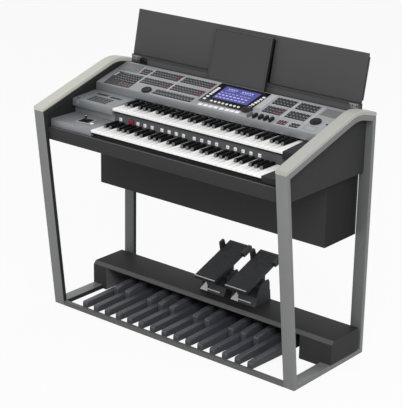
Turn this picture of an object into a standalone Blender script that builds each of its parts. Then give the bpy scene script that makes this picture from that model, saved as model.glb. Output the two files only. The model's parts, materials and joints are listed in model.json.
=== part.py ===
"""Electronic organ: two manuals, a 25-note pedalboard and two swell pedals in an open stand.

Units are metres, +X is the player's right, +Y is away from the player and +Z is up. Heights
and depths below are measured from the floor and from the front of the stand's feet. Every
object hangs on one empty, which moves that corner so that the world's origin lies on the
floor under the middle of the whole organ.
"""
import math

import bmesh
import bpy
from mathutils import Matrix, Vector

# Clearances
GAP = 0.0003
KEY_GAP = 0.001

# Overlap of pieces that a Boolean joins
JOIN = 0.001

# Stand: two closed loops of flat tube with a cap rail on each
TUBE_WIDTH = 0.052
TUBE_DEPTH = 0.020
TUBE_EDGE = 0.0012
LEG_RUN = 0.1036
LEG_HEIGHT = 0.8924
FRAME_DEPTH = 0.460
RAIL_RISE = math.radians(16.75)
RAIL_FALL = math.radians(14.6)
RAIL_PEAK_Y = 0.342
RAIL_RADIUS = 0.180
RAIL_STEPS = 10
CAP_DEPTH = 0.016
CAP_EDGE = 0.003
CAP_GROOVE = 0.002
FOOT_BAR_DEPTH = 0.016
FOOT_BAR_HEIGHT = 0.019

# Console: side panels, fascia, key bed, back
CONSOLE_DROP = 0.1377
BED_THICK = 0.020
TRAY_HEIGHT = 0.034
SIDE_PANEL_THICK = 0.021
FASCIA_THICK = 0.018
REAR_PANEL_THICK = 0.012
REAR_PANEL_SIDE_CLEAR = 0.0006
REAR_DECK_DEPTH = 0.0289
REAR_DECK_DROP = 0.0065
REAR_DECK_THICK = 0.015
INLET_X = 0.415
INLET_Z = 0.570
INLET_WIDTH = 0.030
INLET_HEIGHT = 0.020
INLET_DEPTH = 0.008
CABINET_SIDE_CLEAR = 0.0006
CABINET_DEPTH = 0.1947
CABINET_HEIGHT = 0.2574
CABINET_WALL = 0.015
SPEAKER_X = 0.330
SPEAKER_FLANGE = 0.010
SPEAKER_DEPTH = 0.062
SPEAKER_CONE_DEPTH = 0.028
SPEAKER_CAP_RADIUS = 0.018
SPEAKER_CAP_DEPTH = 0.024
SPEAKER_MAGNET_RADIUS = 0.036
SPEAKER_MAGNET_FRONT = 0.036
BAFFLE_THICK = 0.006
BAFFLE_MARGIN = 0.005
BAFFLE_CLEAR = 0.005
BOARD_HALF = 0.450
BOARD_FRONT = 0.180
BOARD_DEPTH = 0.180
BOARD_THICK = 0.002
BOARD_PART_INSET = 0.050
CHIP_X = (-0.225, 0.025, 0.275)
CHIP_SIZE = 0.050
CHIP_HEIGHT = 0.007
TRANSFORMER_X = -0.380
TRANSFORMER_SIZE = 0.080
TRANSFORMER_HEIGHT = 0.025

# Manuals: 36 naturals each, C to C
CASE_SIDE_CLEAR = 0.002
CASE_WALL = 0.004
NATURALS = 36
NATURAL_PITCH = 0.0235
KEYS_MIDDLE = 0.065
KEY_THICK = 0.011
LOWER_KEY_FRONT = -0.0595
LOWER_KEY_STAND = 0.0298
MANUAL_STEP_BACK = 0.1252
MANUAL_STEP_UP = 0.0626
SHARP_SETBACK = 0.057
SHARP_REAR = 0.1350
SHARP_WIDTH = 0.0135
SHARP_RISE = 0.012
SHARP_SLOPE = 0.003
SPINE_SETBACK = 0.2105
SPINE_DEPTH = 0.009
SHARP_SPINE_THICK = 0.011
SHARP_SPINE_DROP = 0.0015
RAIL_NOSE_HEIGHT = 0.002
SLIP_SETBACK = 0.0145
SLIP_THICK = 0.006
SLIP_HEIGHT = 0.0072
CHEEK_RISE = 0.032
RIGHT_BLOCK_RISE = 0.0288
UPPER_CHEEK_RISE = 0.0307
CASE_REAR_CLEAR = 0.020

# Presets under the upper manual
PRESET_SIZE = 0.013
PRESET_DROP = 0.0143
PRESET_PROUD = 0.003
PRESET_SINGLES = (-0.324, -0.267, -0.232, -0.195, -0.157, 0.375)
PRESET_FOURS = (-0.106, 0.0585, 0.223)
PRESET_PITCH = 0.0369
PRESET_MAT_HEIGHT = 0.0175
PRESET_MAT_THICK = 0.002

# Control panel
PANEL_SETBACK = 0.1393
PANEL_LIFT = 0.0109
PANEL_FRONT_HEIGHT = 0.0325
PANEL_SLOPE = math.radians(15.0)
PANEL_WALL = 0.004
DISPLAY_LEFT = -0.060
DISPLAY_RIGHT = 0.187
DISPLAY_NEAR = 0.036
DISPLAY_REAR_MARGIN = 0.005
DISPLAY_POCKET = 0.002
DISPLAY_PROUD = 0.0005
KNOB_HEIGHT = 0.0075
KNOB_EDGE = 0.0015
KNOB_RIM = 0.006
KNOB_DISH_EDGE = 0.003
LEFT_KNOB = (-0.317, 0.021, 0.0215)
RIGHT_KNOB = (0.482, 0.077, 0.023)
DATA_WHEEL = (0.177, 0.050, 0.023)
JOYSTICK_X = -0.453
JOYSTICK_Y = 0.013
JOYSTICK_WELL = 0.048
JOYSTICK_WELL_TURN = math.radians(12.0)
JOYSTICK_WELL_DEPTH = 0.004
JOYSTICK_BALL = 0.0065
JOYSTICK_HEIGHT = 0.026
JOYSTICK_HEAD = 0.010
JOYSTICK_HEAD_EDGE = 0.0015

# Lid and music rest
LID_SIDE_CLEAR = 0.003
LID_INSET = 0.006
LID_LIFT = 0.0345
LID_LEAN = math.radians(11.4)
LID_HEIGHT = 0.190
LID_THICK = 0.007
LID_LEAF_GAP = 0.0005
LID_LEAF_DROP = 0.014
LID_LEAF_FOOT = 0.010
LID_TAB_X = (-0.45, -0.15, 0.15, 0.45)
LID_TAB_WIDTH = 0.040
LID_TAB_THICK = 0.003
REST_CENTRE = -0.001
REST_HALF = 0.145
REST_EXTRA_LEAN = math.radians(2.1)
REST_HEIGHT = 0.2125
REST_THICK = 0.016
REST_EDGE = 0.002
BRACKET_WIDTH = 0.034
BRACKET_HEIGHT = 0.028
BRACKET_THICK = 0.0015
BRACKET_INSET = 0.024
BRACKET_DROP = 0.0185
HINGE_LEAF_HEIGHT = 0.007

# Pedal box and pedalboard
BOX_DEPTH = 0.183
BOX_REAR_CLEAR = 0.018
BOX_TOP = 0.119
BOX_BOTTOM = 0.003
BOX_CHAMFER = 0.014
BOX_TOP_THICK = 0.014
BOX_REAR_THICK = 0.012
BOX_LEFT_WALL = 0.0235
BOX_END_WALL = 0.012
CROSSBAR_SETBACK = 0.030
CROSSBAR_THICK = 0.012
CROSSBAR_HEIGHT = 0.017
PEDAL_NATURALS = 15
PEDAL_PITCH = 0.06284
PEDALS_MIDDLE = -0.0338
PEDAL_LEFT_ROOM = 0.0839
PEDAL_RIGHT_ROOM = 0.0739
PEDAL_WIDTH = 0.0255
PEDAL_TIP_CLEAR = 0.002
PEDAL_TIP_TOP = 0.041
PEDAL_TIP_BOTTOM = 0.0160
PEDAL_CORNER = 0.008
PEDAL_TOP = 0.049
PEDAL_HEEL_LENGTH = 0.095
PEDAL_HEEL_BOTTOM = 0.0045
PEDAL_EDGE = 0.0015
PEDAL_PIVOT_INSET = 0.027
PEDAL_PIVOT_Z = 0.022
PEDAL_PIVOT_RADIUS = 0.014
SHARP_PEDAL_LENGTH = 0.114
SHARP_PEDAL_SETBACK = 0.010
SHARP_PEDAL_TOP = 0.0745
SHARP_PEDAL_FALL = 0.0095
SHARP_PEDAL_TIP_BOTTOM = 0.0098
PIVOT_RAIL_REACH = 0.004

# Swell pedals
SWELL_PITCH = 0.1625
SWELL_FIRST_X = -0.0200
SWELL_BASE_WIDTH = 0.127
SWELL_BASE_DEPTH = 0.107
SWELL_BASE_INSET = 0.010
SWELL_BODY_FRONT_HEIGHT = 0.0327
SWELL_BODY_REAR_HEIGHT = 0.0487
SWELL_BODY_FRONT_RUN = 0.020
SWELL_BODY_REAR_RUN = 0.006
SWELL_CHEEK = 0.005
SWELL_CHEEK_FOOT = 0.006
SWELL_CHEEK_RIM = 0.003
SWELL_CHEEK_TOP_REAR = 0.020
SWELL_SHOULDER_RUN = 0.030
SWELL_SHOULDER_HEIGHT = 0.077
SWELL_WALL_CLEAR = 0.0035
SWELL_WALL_HEIGHT = 0.084
SWELL_WALL_RUN = 0.006
SWELL_PIVOT_INSET = 0.048
SWELL_PIVOT_HEIGHT = 0.086
SWELL_HUB_RADIUS = 0.008
SWELL_NECK_FRONT = 0.029
SWELL_NECK_REAR = 0.037
TREADLE_WIDTH = 0.108
TREADLE_REACH = 0.122
TREADLE_DROP = 0.0027
TREADLE_LENGTH = 0.2531
TREADLE_LEAN = math.radians(20.8)
TREADLE_THICK = 0.018
TREADLE_EDGE = 0.002
TOE_LEVER_INSET = 0.036
TOE_LEVER_WIDTH = 0.007
TOE_LEVER_LENGTH = 0.031
TOE_LEVER_TIP = 0.024
TOE_LEVER_RISE = 0.029
TOE_LUMP_INSET = 0.004
TOE_LUMP_LENGTH = 0.056
TOE_LUMP_WIDTH = 0.012
TOE_LUMP_RISE = 0.006

# Sizes worked out from those above: the pedalboard sets the width between the side frames
PEDAL_FIRST_X = PEDALS_MIDDLE - PEDAL_PITCH * (PEDAL_NATURALS - 1) / 2
PEDAL_LAST_X = PEDALS_MIDDLE + PEDAL_PITCH * (PEDAL_NATURALS - 1) / 2
BOX_OPENING_LEFT = PEDAL_FIRST_X - PEDAL_LEFT_ROOM
BOX_OPENING_RIGHT = PEDAL_LAST_X + PEDAL_RIGHT_ROOM
HALF_INNER = BOX_LEFT_WALL - BOX_OPENING_LEFT
CABINET_HALF = HALF_INNER - CABINET_SIDE_CLEAR
REAR_PANEL_HALF = HALF_INNER - REAR_PANEL_SIDE_CLEAR
CASE_HALF = HALF_INNER - CASE_SIDE_CLEAR
LID_HALF = HALF_INNER - LID_SIDE_CLEAR
BRACKET_X = LID_HALF - BRACKET_INSET

RAIL_UNDER_CAP = CAP_DEPTH + GAP
RAIL_INSIDE = RAIL_UNDER_CAP + TUBE_DEPTH
REAR_PANEL_BACK = FRAME_DEPTH - TUBE_DEPTH
REAR_PANEL_FRONT = REAR_PANEL_BACK - REAR_PANEL_THICK
REAR_INSIDE = REAR_PANEL_FRONT - GAP
CASE_BACK = REAR_INSIDE - CASE_REAR_CLEAR
BED_BOTTOM = LEG_HEIGHT - CONSOLE_DROP
BED_TOP = BED_BOTTOM + BED_THICK
LEDGE_HEIGHT = BED_TOP + TRAY_HEIGHT
UPPER_DECK = LEDGE_HEIGHT + MANUAL_STEP_UP
LOWER_KEY_TOP = LEDGE_HEIGHT + LOWER_KEY_STAND
UPPER_KEY_FRONT = LOWER_KEY_FRONT + MANUAL_STEP_BACK
UPPER_KEY_TOP = LOWER_KEY_TOP + MANUAL_STEP_UP
KEYS_LEFT = KEYS_MIDDLE - NATURALS * NATURAL_PITCH / 2
KEYS_RIGHT = KEYS_MIDDLE + NATURALS * NATURAL_PITCH / 2
STRIP_FRONT = UPPER_KEY_FRONT + SLIP_SETBACK
PRESET_HEIGHT = UPPER_DECK - PRESET_DROP

CABINET_FRONT = REAR_INSIDE - CABINET_DEPTH
CABINET_TOP = BED_BOTTOM - GAP
CABINET_BOTTOM = CABINET_TOP - CABINET_HEIGHT
SPEAKER_RADIUS = (CABINET_DEPTH - CABINET_WALL) / 2 - SPEAKER_FLANGE - BAFFLE_MARGIN - BAFFLE_CLEAR

PANEL_FRONT = UPPER_KEY_FRONT + PANEL_SETBACK
PANEL_REAR = REAR_PANEL_FRONT - REAR_DECK_DEPTH
PANEL_LENGTH = (PANEL_REAR - PANEL_FRONT) / math.cos(PANEL_SLOPE)
PANEL_FRONT_BOTTOM = UPPER_KEY_TOP + PANEL_LIFT
PANEL_FRONT_TOP = PANEL_FRONT_BOTTOM + PANEL_FRONT_HEIGHT
PANEL_REAR_TOP = PANEL_FRONT_TOP + PANEL_LENGTH * math.sin(PANEL_SLOPE)
DISPLAY_FAR = PANEL_LENGTH - DISPLAY_REAR_MARGIN
REAR_DECK_HEIGHT = PANEL_REAR_TOP - REAR_DECK_DROP

BOX_REAR = REAR_PANEL_BACK - BOX_REAR_CLEAR
BOX_FRONT = BOX_REAR - BOX_DEPTH
CROSSBAR_BOTTOM = BOX_TOP - BOX_TOP_THICK - CROSSBAR_HEIGHT
PEDAL_TIP = FOOT_BAR_DEPTH + PEDAL_TIP_CLEAR
PEDAL_PIVOT_Y = BOX_REAR - PEDAL_PIVOT_INSET
PEDAL_REST_Y = PEDAL_PIVOT_Y - PEDAL_HEEL_LENGTH
SHARP_PEDAL_REAR = PEDAL_REST_Y - SHARP_PEDAL_SETBACK
SHARP_PEDAL_FRONT = SHARP_PEDAL_REAR - SHARP_PEDAL_LENGTH
SWELL_BASE_REAR = BOX_REAR - SWELL_BASE_INSET
SWELL_BASE_FRONT = SWELL_BASE_REAR - SWELL_BASE_DEPTH
SWELL_PIVOT_Y = BOX_REAR - SWELL_PIVOT_INSET
SWELL_PIVOT_Z = BOX_TOP + SWELL_PIVOT_HEIGHT
TREADLE_FRONT = SWELL_PIVOT_Y - TREADLE_REACH
TREADLE_FRONT_TOP = SWELL_PIVOT_Z - TREADLE_DROP

LID_Y = REAR_PANEL_BACK - LID_INSET
LID_Z = REAR_DECK_HEIGHT + LID_LIFT
BRACKET_Z = LID_Z - BRACKET_DROP
REST_LEAN = LID_LEAN + REST_EXTRA_LEAN
LID_TOP_REACH = (LID_HEIGHT - LID_LEAF_DROP) * math.sin(LID_LEAN)
LID_STACK = 2 * LID_THICK + LID_LEAF_GAP
ORGAN_FRONT = -LEG_RUN
ORGAN_BACK = LID_Y + LID_TOP_REACH + LID_STACK * math.cos(LID_LEAN)
ORGAN_MIDDLE = (ORGAN_FRONT + ORGAN_BACK) / 2
PEDAL_SHARP_AFTER = (0, 1, 3, 4, 5)
OCTAVE = 7
SHARP_OFFSETS = {0: -0.0025, 1: 0.0025, 3: -0.003, 4: 0.0, 5: 0.003}


# Scene, materials and object helpers

def clear_scene():
    """Removes every object that the file opened with."""
    for old in list(bpy.data.objects):
        bpy.data.objects.remove(old, do_unlink=True)


def finish(name, colour, roughness, metallic=0.0):
    """A Principled material with a plain colour."""
    material = bpy.data.materials.new(name)
    material.use_nodes = True
    shader = material.node_tree.nodes["Principled BSDF"]
    shader.inputs["Base Color"].default_value = (*colour, 1.0)
    shader.inputs["Roughness"].default_value = roughness
    shader.inputs["Metallic"].default_value = metallic
    material.diffuse_color = (*colour, 1.0)
    return material


clear_scene()
organ = bpy.data.objects.new("organ", None)
organ.location = (0, -ORGAN_MIDDLE, 0)
bpy.context.collection.objects.link(organ)

TUBE_GREY = finish("tube_grey", (0.21, 0.22, 0.21), 0.45, 0.3)
CAP_CREAM = finish("cap_cream", (0.63, 0.63, 0.55), 0.5)
CASE_BLACK = finish("case_black", (0.025, 0.025, 0.026), 0.55)
PANEL_SILVER = finish("panel_silver", (0.27, 0.28, 0.30), 0.45, 0.3)
DARK_GREY = finish("dark_grey", (0.07, 0.07, 0.075), 0.5)
KEY_WHITE = finish("key_white", (0.85, 0.85, 0.82), 0.25)
KEY_BLACK = finish("key_black", (0.012, 0.012, 0.013), 0.3)
PEDAL_SLATE = finish("pedal_slate", (0.035, 0.038, 0.046), 0.4)
LID_GREY = finish("lid_grey", (0.07, 0.07, 0.07), 0.5)
SCREEN_BLUE = finish("screen_blue", (0.09, 0.10, 0.45), 0.2)
BUTTON_WHITE = finish("button_white", (0.8, 0.8, 0.8), 0.4)
STEEL = finish("steel", (0.55, 0.55, 0.55), 0.3, 1.0)
BOARD_GREEN = finish("board_green", (0.02, 0.10, 0.05), 0.5)


def place(name, bm, material, pivot=(0, 0, 0)):
    """Makes the mesh an object on the organ's empty, with its origin at pivot."""
    bmesh.ops.remove_doubles(bm, verts=bm.verts, dist=0.000001)
    bmesh.ops.recalc_face_normals(bm, faces=bm.faces)
    bmesh.ops.translate(bm, vec=-Vector(pivot), verts=bm.verts)
    mesh = bpy.data.meshes.new(name)
    bm.to_mesh(mesh)
    bm.free()
    if material is not None:
        mesh.materials.append(material)
    obj = bpy.data.objects.new(name, mesh)
    obj.parent = organ
    obj.location = pivot
    bpy.context.collection.objects.link(obj)
    return obj


def soften(obj, width, segments=1):
    """Adds a Bevel modifier to the sharp edges."""
    bevel = obj.modifiers.new("edges", "BEVEL")
    bevel.width = width
    bevel.segments = segments
    bevel.limit_method = "ANGLE"
    bevel.angle_limit = math.radians(40)
    return obj


def smooth(obj):
    """Shades round pieces smooth and keeps their sharp edges."""
    obj.data.shade_smooth()
    obj.data.set_sharp_from_angle(angle=math.radians(40))
    return obj


def combine(obj, tool, operation):
    """Adds or cuts the hidden tool object with an exact Boolean."""
    tool.hide_render = True
    tool.display_type = "WIRE"
    boolean = obj.modifiers.new(tool.name, "BOOLEAN")
    boolean.operation = operation
    boolean.solver = "EXACT"
    boolean.object = tool
    return obj


# Mesh helpers

def add_box(bm, low, high):
    """Adds a box between two corners and returns its vertices."""
    made = bmesh.ops.create_cube(bm, size=1.0)["verts"]
    size = Vector(high) - Vector(low)
    middle = (Vector(high) + Vector(low)) / 2
    bmesh.ops.scale(bm, vec=size, verts=made)
    bmesh.ops.translate(bm, vec=middle, verts=made)
    return made


def add_prism(bm, outline, x0, x1):
    """Adds a solid with an outline of (y, z) points, from x0 to x1."""
    corners = [bm.verts.new((x0, y, z)) for y, z in outline]
    face = bm.faces.new(corners)
    grown = bmesh.ops.extrude_face_region(bm, geom=[face])["geom"]
    moved = [item for item in grown if isinstance(item, bmesh.types.BMVert)]
    bmesh.ops.translate(bm, vec=(x1 - x0, 0, 0), verts=moved)
    return corners + moved


def add_slab(bm, outline, z0, z1):
    """Adds a solid with an outline of (x, y) points, from z0 to z1."""
    corners = [bm.verts.new((x, y, z0)) for x, y in outline]
    face = bm.faces.new(corners)
    grown = bmesh.ops.extrude_face_region(bm, geom=[face])["geom"]
    moved = [item for item in grown if isinstance(item, bmesh.types.BMVert)]
    bmesh.ops.translate(bm, vec=(0, 0, z1 - z0), verts=moved)
    return corners + moved


def add_turned(bm, profile, steps, place_at):
    """Adds a turned solid: profile is (radius, height) points from axis to axis."""
    rim = [bm.verts.new((radius, 0, height)) for radius, height in profile]
    edges = [bm.edges.new(pair) for pair in zip(rim, rim[1:])]
    spun = bmesh.ops.spin(bm, geom=rim + edges, cent=(0, 0, 0), axis=(0, 0, 1),
                          angle=math.tau, steps=steps, use_merge=True)
    verts = {v for item in spun["geom_last"] for v in getattr(item, "verts", [item])}
    verts.update(rim)
    linked = set(verts)
    wave = list(verts)
    while wave:
        vert = wave.pop()
        for edge in vert.link_edges:
            other = edge.other_vert(vert)
            if other not in linked:
                linked.add(other)
                wave.append(other)
    bmesh.ops.remove_doubles(bm, verts=list(linked), dist=0.000001)
    alive = [v for v in linked if v.is_valid]
    bmesh.ops.transform(bm, matrix=place_at, verts=alive)
    return alive


def boxes(name, corners, material=None):
    """An object made of boxes, each given by its low and high corners."""
    bm = bmesh.new()
    for low, high in corners:
        add_box(bm, low, high)
    return place(name, bm, material)


# Lines of the stand

def meet(start, along, other, across):
    """The point where two lines in the YZ plane cross."""
    step = (other - start).cross(across) / along.cross(across)
    return start + along * step


def leg_at(height, inset):
    """Depth of the front leg's line at a height, inset behind its front face."""
    length = math.hypot(LEG_RUN, LEG_HEIGHT)
    return (inset * length - LEG_RUN * height) / LEG_HEIGHT


def rail_path(depth, inset):
    """Points (y, z) along the top rail, from its front end to its back end.

    depth is measured down from the cap's top face. inset is measured in from the front leg's
    face and from the rear leg's back.
    """
    rise = Vector((math.cos(RAIL_RISE), math.sin(RAIL_RISE)))
    below_rise = Vector((math.sin(RAIL_RISE), -math.cos(RAIL_RISE)))
    fall = Vector((math.cos(RAIL_FALL), -math.sin(RAIL_FALL)))
    below_fall = Vector((-math.sin(RAIL_FALL), -math.cos(RAIL_FALL)))
    front_top = Vector((-LEG_RUN, LEG_HEIGHT))
    peak = front_top + rise * ((RAIL_PEAK_Y + LEG_RUN) / math.cos(RAIL_RISE))
    front_line = front_top + below_rise * depth
    corner = meet(front_line, rise, peak + below_fall * depth, fall)
    radius = RAIL_RADIUS - depth
    centre = corner - rise * (radius * math.tan((RAIL_RISE + RAIL_FALL) / 2)) + below_rise * radius
    leg = Vector((-LEG_RUN, LEG_HEIGHT))
    points = [meet(front_line, rise, Vector((leg_at(0, inset), 0)), leg)]
    for step in range(RAIL_STEPS + 1):
        turn = math.pi / 2 + RAIL_RISE - (RAIL_RISE + RAIL_FALL) * step / RAIL_STEPS
        points.append(centre + radius * Vector((math.cos(turn), math.sin(turn))))
    points.append(meet(corner, fall, Vector((FRAME_DEPTH - inset, 0)), Vector((0, 1))))
    return [(point.x, point.y) for point in points]


# Stand

def side_frame(name, side):
    """A closed loop of flat tube: leaning front leg, floor rail, rear leg and top tube."""
    outer = [(leg_at(0, 0), 0), (FRAME_DEPTH, 0)]
    outer += reversed(rail_path(RAIL_UNDER_CAP, 0))
    inner = [(leg_at(TUBE_DEPTH, TUBE_DEPTH), TUBE_DEPTH)]
    inner.append((FRAME_DEPTH - TUBE_DEPTH, TUBE_DEPTH))
    inner += reversed(rail_path(RAIL_INSIDE, TUBE_DEPTH))
    bm = bmesh.new()
    edges = []
    for loop in (outer, inner):
        verts = [bm.verts.new((side * HALF_INNER, y, z)) for y, z in loop]
        edges += [bm.edges.new((a, b)) for a, b in zip(verts, verts[1:] + verts[:1])]
    bmesh.ops.triangle_fill(bm, edges=edges, use_beauty=True, normal=(side, 0, 0))
    grown = bmesh.ops.extrude_face_region(bm, geom=bm.faces[:])["geom"]
    moved = [item for item in grown if isinstance(item, bmesh.types.BMVert)]
    bmesh.ops.translate(bm, vec=(side * TUBE_WIDTH, 0, 0), verts=moved)
    bmesh.ops.recalc_face_normals(bm, faces=bm.faces)
    rims = [edge for edge in bm.edges if edge.calc_face_angle() > math.radians(60)
            and edge.verts[0].co.x == edge.verts[1].co.x]
    bmesh.ops.bevel(bm, geom=rims, offset=TUBE_EDGE, segments=1, profile=0.5,
                    affect="EDGES", material=-1)
    return place(name, bm, TUBE_GREY)


def top_rail(name, side):
    """The cap along the arched top, with rounded edges and a fine groove over the tube."""
    half = TUBE_WIDTH / 2
    section = []
    for step in range(4):
        turn = math.pi / 2 * step / 3
        section.append((-half + CAP_EDGE * (1 - math.sin(turn)), CAP_EDGE * (1 - math.cos(turn))))
    section = [(x, depth) for x, depth in reversed(section)]
    right = [(-x, depth) for x, depth in reversed(section)]
    groove = CAP_DEPTH - CAP_GROOVE
    section += right
    section += [(half, groove), (half - CAP_GROOVE, groove), (half - CAP_GROOVE, CAP_DEPTH)]
    section += [(CAP_GROOVE - half, CAP_DEPTH), (CAP_GROOVE - half, groove), (-half, groove)]
    middle = side * (HALF_INNER + half)
    bm = bmesh.new()
    lines = []
    for x, depth in section:
        lines.append([bm.verts.new((middle + x, y, z)) for y, z in rail_path(depth, 0)])
    for line, following in zip(lines, lines[1:] + lines[:1]):
        for index in range(len(line) - 1):
            bm.faces.new((line[index], line[index + 1], following[index + 1], following[index]))
    bm.faces.new([line[0] for line in lines])
    bm.faces.new([line[-1] for line in reversed(lines)])
    return place(name, bm, CAP_CREAM)


def front_foot_bar():
    """The flat bar on the floor between the front feet."""
    half = HALF_INNER - GAP
    return boxes("front_foot_bar", [((-half, 0, 0), (half, FOOT_BAR_DEPTH, FOOT_BAR_HEIGHT))],
                 TUBE_GREY)


# Console shell

def side_panel(name, side):
    """The board that fills the upper part of a side frame, flush with its inner face."""
    inset = TUBE_DEPTH + GAP
    outline = [(leg_at(BED_BOTTOM, inset), BED_BOTTOM), (FRAME_DEPTH - inset, BED_BOTTOM)]
    outline += reversed(rail_path(RAIL_INSIDE + GAP, inset))
    bm = bmesh.new()
    add_prism(bm, outline, side * HALF_INNER, side * (HALF_INNER + SIDE_PANEL_THICK))
    return place(name, bm, CASE_BLACK)


def front_fascia():
    """The leaning front board under the keys, in line with the side panels."""
    back = TUBE_DEPTH + FASCIA_THICK
    outline = [(leg_at(BED_BOTTOM, TUBE_DEPTH), BED_BOTTOM), (leg_at(BED_BOTTOM, back), BED_BOTTOM)]
    outline += [(leg_at(LEDGE_HEIGHT, back), LEDGE_HEIGHT)]
    outline += [(leg_at(LEDGE_HEIGHT, TUBE_DEPTH), LEDGE_HEIGHT)]
    bm = bmesh.new()
    add_prism(bm, outline, GAP - HALF_INNER, HALF_INNER - GAP)
    return place("front_fascia", bm, CASE_BLACK)


def key_bed():
    """The board across the console that carries both manuals."""
    front = TUBE_DEPTH + FASCIA_THICK + GAP
    outline = [(leg_at(BED_BOTTOM, front), BED_BOTTOM), (REAR_INSIDE, BED_BOTTOM)]
    outline += [(REAR_INSIDE, BED_TOP), (leg_at(BED_TOP, front), BED_TOP)]
    bm = bmesh.new()
    add_prism(bm, outline, GAP - HALF_INNER, HALF_INNER - GAP)
    return place("key_bed", bm, CASE_BLACK)


def lower_cabinet():
    """The box under the key bed, open at the back, with two round speaker holes below."""
    cabinet = boxes("lower_cabinet", [((-CABINET_HALF, CABINET_FRONT, CABINET_BOTTOM),
                                       (CABINET_HALF, REAR_INSIDE, CABINET_TOP))], CASE_BLACK)
    room = boxes("cabinet_room", [((CABINET_WALL - CABINET_HALF, CABINET_FRONT + CABINET_WALL,
                                    CABINET_BOTTOM + CABINET_WALL),
                                   (CABINET_HALF - CABINET_WALL, REAR_PANEL_BACK,
                                    CABINET_TOP - CABINET_WALL))])
    bm = bmesh.new()
    for x in (-SPEAKER_X, SPEAKER_X):
        at = Matrix.Translation((x, speaker_y(), CABINET_BOTTOM))
        depth = CABINET_WALL + 2 * GAP
        add_turned(bm, [(0, -GAP), (SPEAKER_RADIUS, -GAP), (SPEAKER_RADIUS, depth), (0, depth)],
                   24, at)
    combine(cabinet, room, "DIFFERENCE")
    return combine(cabinet, place("speaker_holes", bm, None), "DIFFERENCE")


def speaker_y():
    """Depth of the speakers' centres, midway inside the cabinet."""
    return (CABINET_FRONT + CABINET_WALL + REAR_INSIDE) / 2


def speaker_baffle():
    """The baffle on the cabinet's floor, with two drivers that face down through it."""
    floor = CABINET_BOTTOM + CABINET_WALL + GAP
    rim = SPEAKER_RADIUS + SPEAKER_FLANGE
    back = [(0, JOIN), (rim, JOIN), (rim, SPEAKER_FLANGE), (SPEAKER_RADIUS, SPEAKER_FLANGE)]
    back += [(SPEAKER_MAGNET_RADIUS, SPEAKER_MAGNET_FRONT), (SPEAKER_MAGNET_RADIUS, SPEAKER_DEPTH)]
    back += [(0, SPEAKER_DEPTH)]
    cone = [(0, -GAP), (SPEAKER_RADIUS, -GAP), (SPEAKER_RADIUS, JOIN)]
    cone += [(SPEAKER_CAP_RADIUS, SPEAKER_CONE_DEPTH), (0, SPEAKER_CAP_DEPTH)]
    edge = rim + BAFFLE_MARGIN
    baffle = boxes("speaker_baffle", [
        ((-SPEAKER_X - edge, speaker_y() - edge, floor),
         (SPEAKER_X + edge, speaker_y() + edge, floor + BAFFLE_THICK))], DARK_GREY)
    for name, profile, operation in (("speaker_backs", back, "UNION"),
                                     ("speaker_cones", cone, "DIFFERENCE")):
        bm = bmesh.new()
        for x in (-SPEAKER_X, SPEAKER_X):
            add_turned(bm, profile, 24, Matrix.Translation((x, speaker_y(), floor)))
        combine(baffle, place(name, bm, None), operation)
    return baffle


def rear_panel():
    """The back board, with the deck behind the control panel and the lid's hinge strip."""
    front = REAR_PANEL_FRONT
    deck_front = PANEL_REAR + GAP
    strip_top = LID_Z - LID_THICK * math.sin(LID_LEAN) - GAP
    deck_low = REAR_DECK_HEIGHT - REAR_DECK_THICK
    outline = [(front, CABINET_BOTTOM), (REAR_PANEL_BACK, CABINET_BOTTOM)]
    outline += [(REAR_PANEL_BACK, strip_top), (front + GAP, strip_top)]
    outline += [(front + GAP, REAR_DECK_HEIGHT), (deck_front, REAR_DECK_HEIGHT)]
    outline += [(deck_front, deck_low), (front, deck_low)]
    bm = bmesh.new()
    add_prism(bm, outline, -REAR_PANEL_HALF, REAR_PANEL_HALF)
    panel = place("rear_panel", bm, CASE_BLACK)
    half = INLET_WIDTH / 2
    rise = INLET_HEIGHT / 2
    inlet = boxes("inlet_recess", [((INLET_X - half, REAR_PANEL_BACK - INLET_DEPTH, INLET_Z - rise),
                                    (INLET_X + half, REAR_PANEL_BACK + JOIN, INLET_Z + rise))])
    return combine(panel, inlet, "DIFFERENCE")


def main_board():
    """The circuit board on the key bed, with its transformer and its larger parts."""
    low = BED_TOP + GAP
    face = low + BOARD_THICK
    near = BOARD_FRONT + BOARD_PART_INSET
    parts = [(TRANSFORMER_X, TRANSFORMER_SIZE, TRANSFORMER_HEIGHT)]
    parts += [(x, CHIP_SIZE, CHIP_HEIGHT) for x in CHIP_X]
    board = boxes("main_board", [((-BOARD_HALF, BOARD_FRONT, low),
                                  (BOARD_HALF, BOARD_FRONT + BOARD_DEPTH, face))], BOARD_GREEN)
    blocks = boxes("board_parts", [((x - size / 2, near, face - JOIN),
                                    (x + size / 2, near + size, face + height))
                                   for x, size, height in parts])
    return combine(board, blocks, "UNION")


# Manuals

def key_x(index):
    """Left edge of a natural."""
    return KEYS_LEFT + index * NATURAL_PITCH


def sharp_centres():
    """Where the sharps stand: pairs of the natural on their left and their centre."""
    centres = {}
    for index in range(NATURALS - 1):
        step = index % OCTAVE
        if step in SHARP_OFFSETS:
            centres[index] = key_x(index + 1) + SHARP_OFFSETS[step]
    return centres


def pivot_of(front, top):
    """A manual's pivot line: on its balance rail, under the naturals."""
    return (0, front + SPINE_SETBACK + SPINE_DEPTH / 2, top - KEY_THICK)


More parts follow.
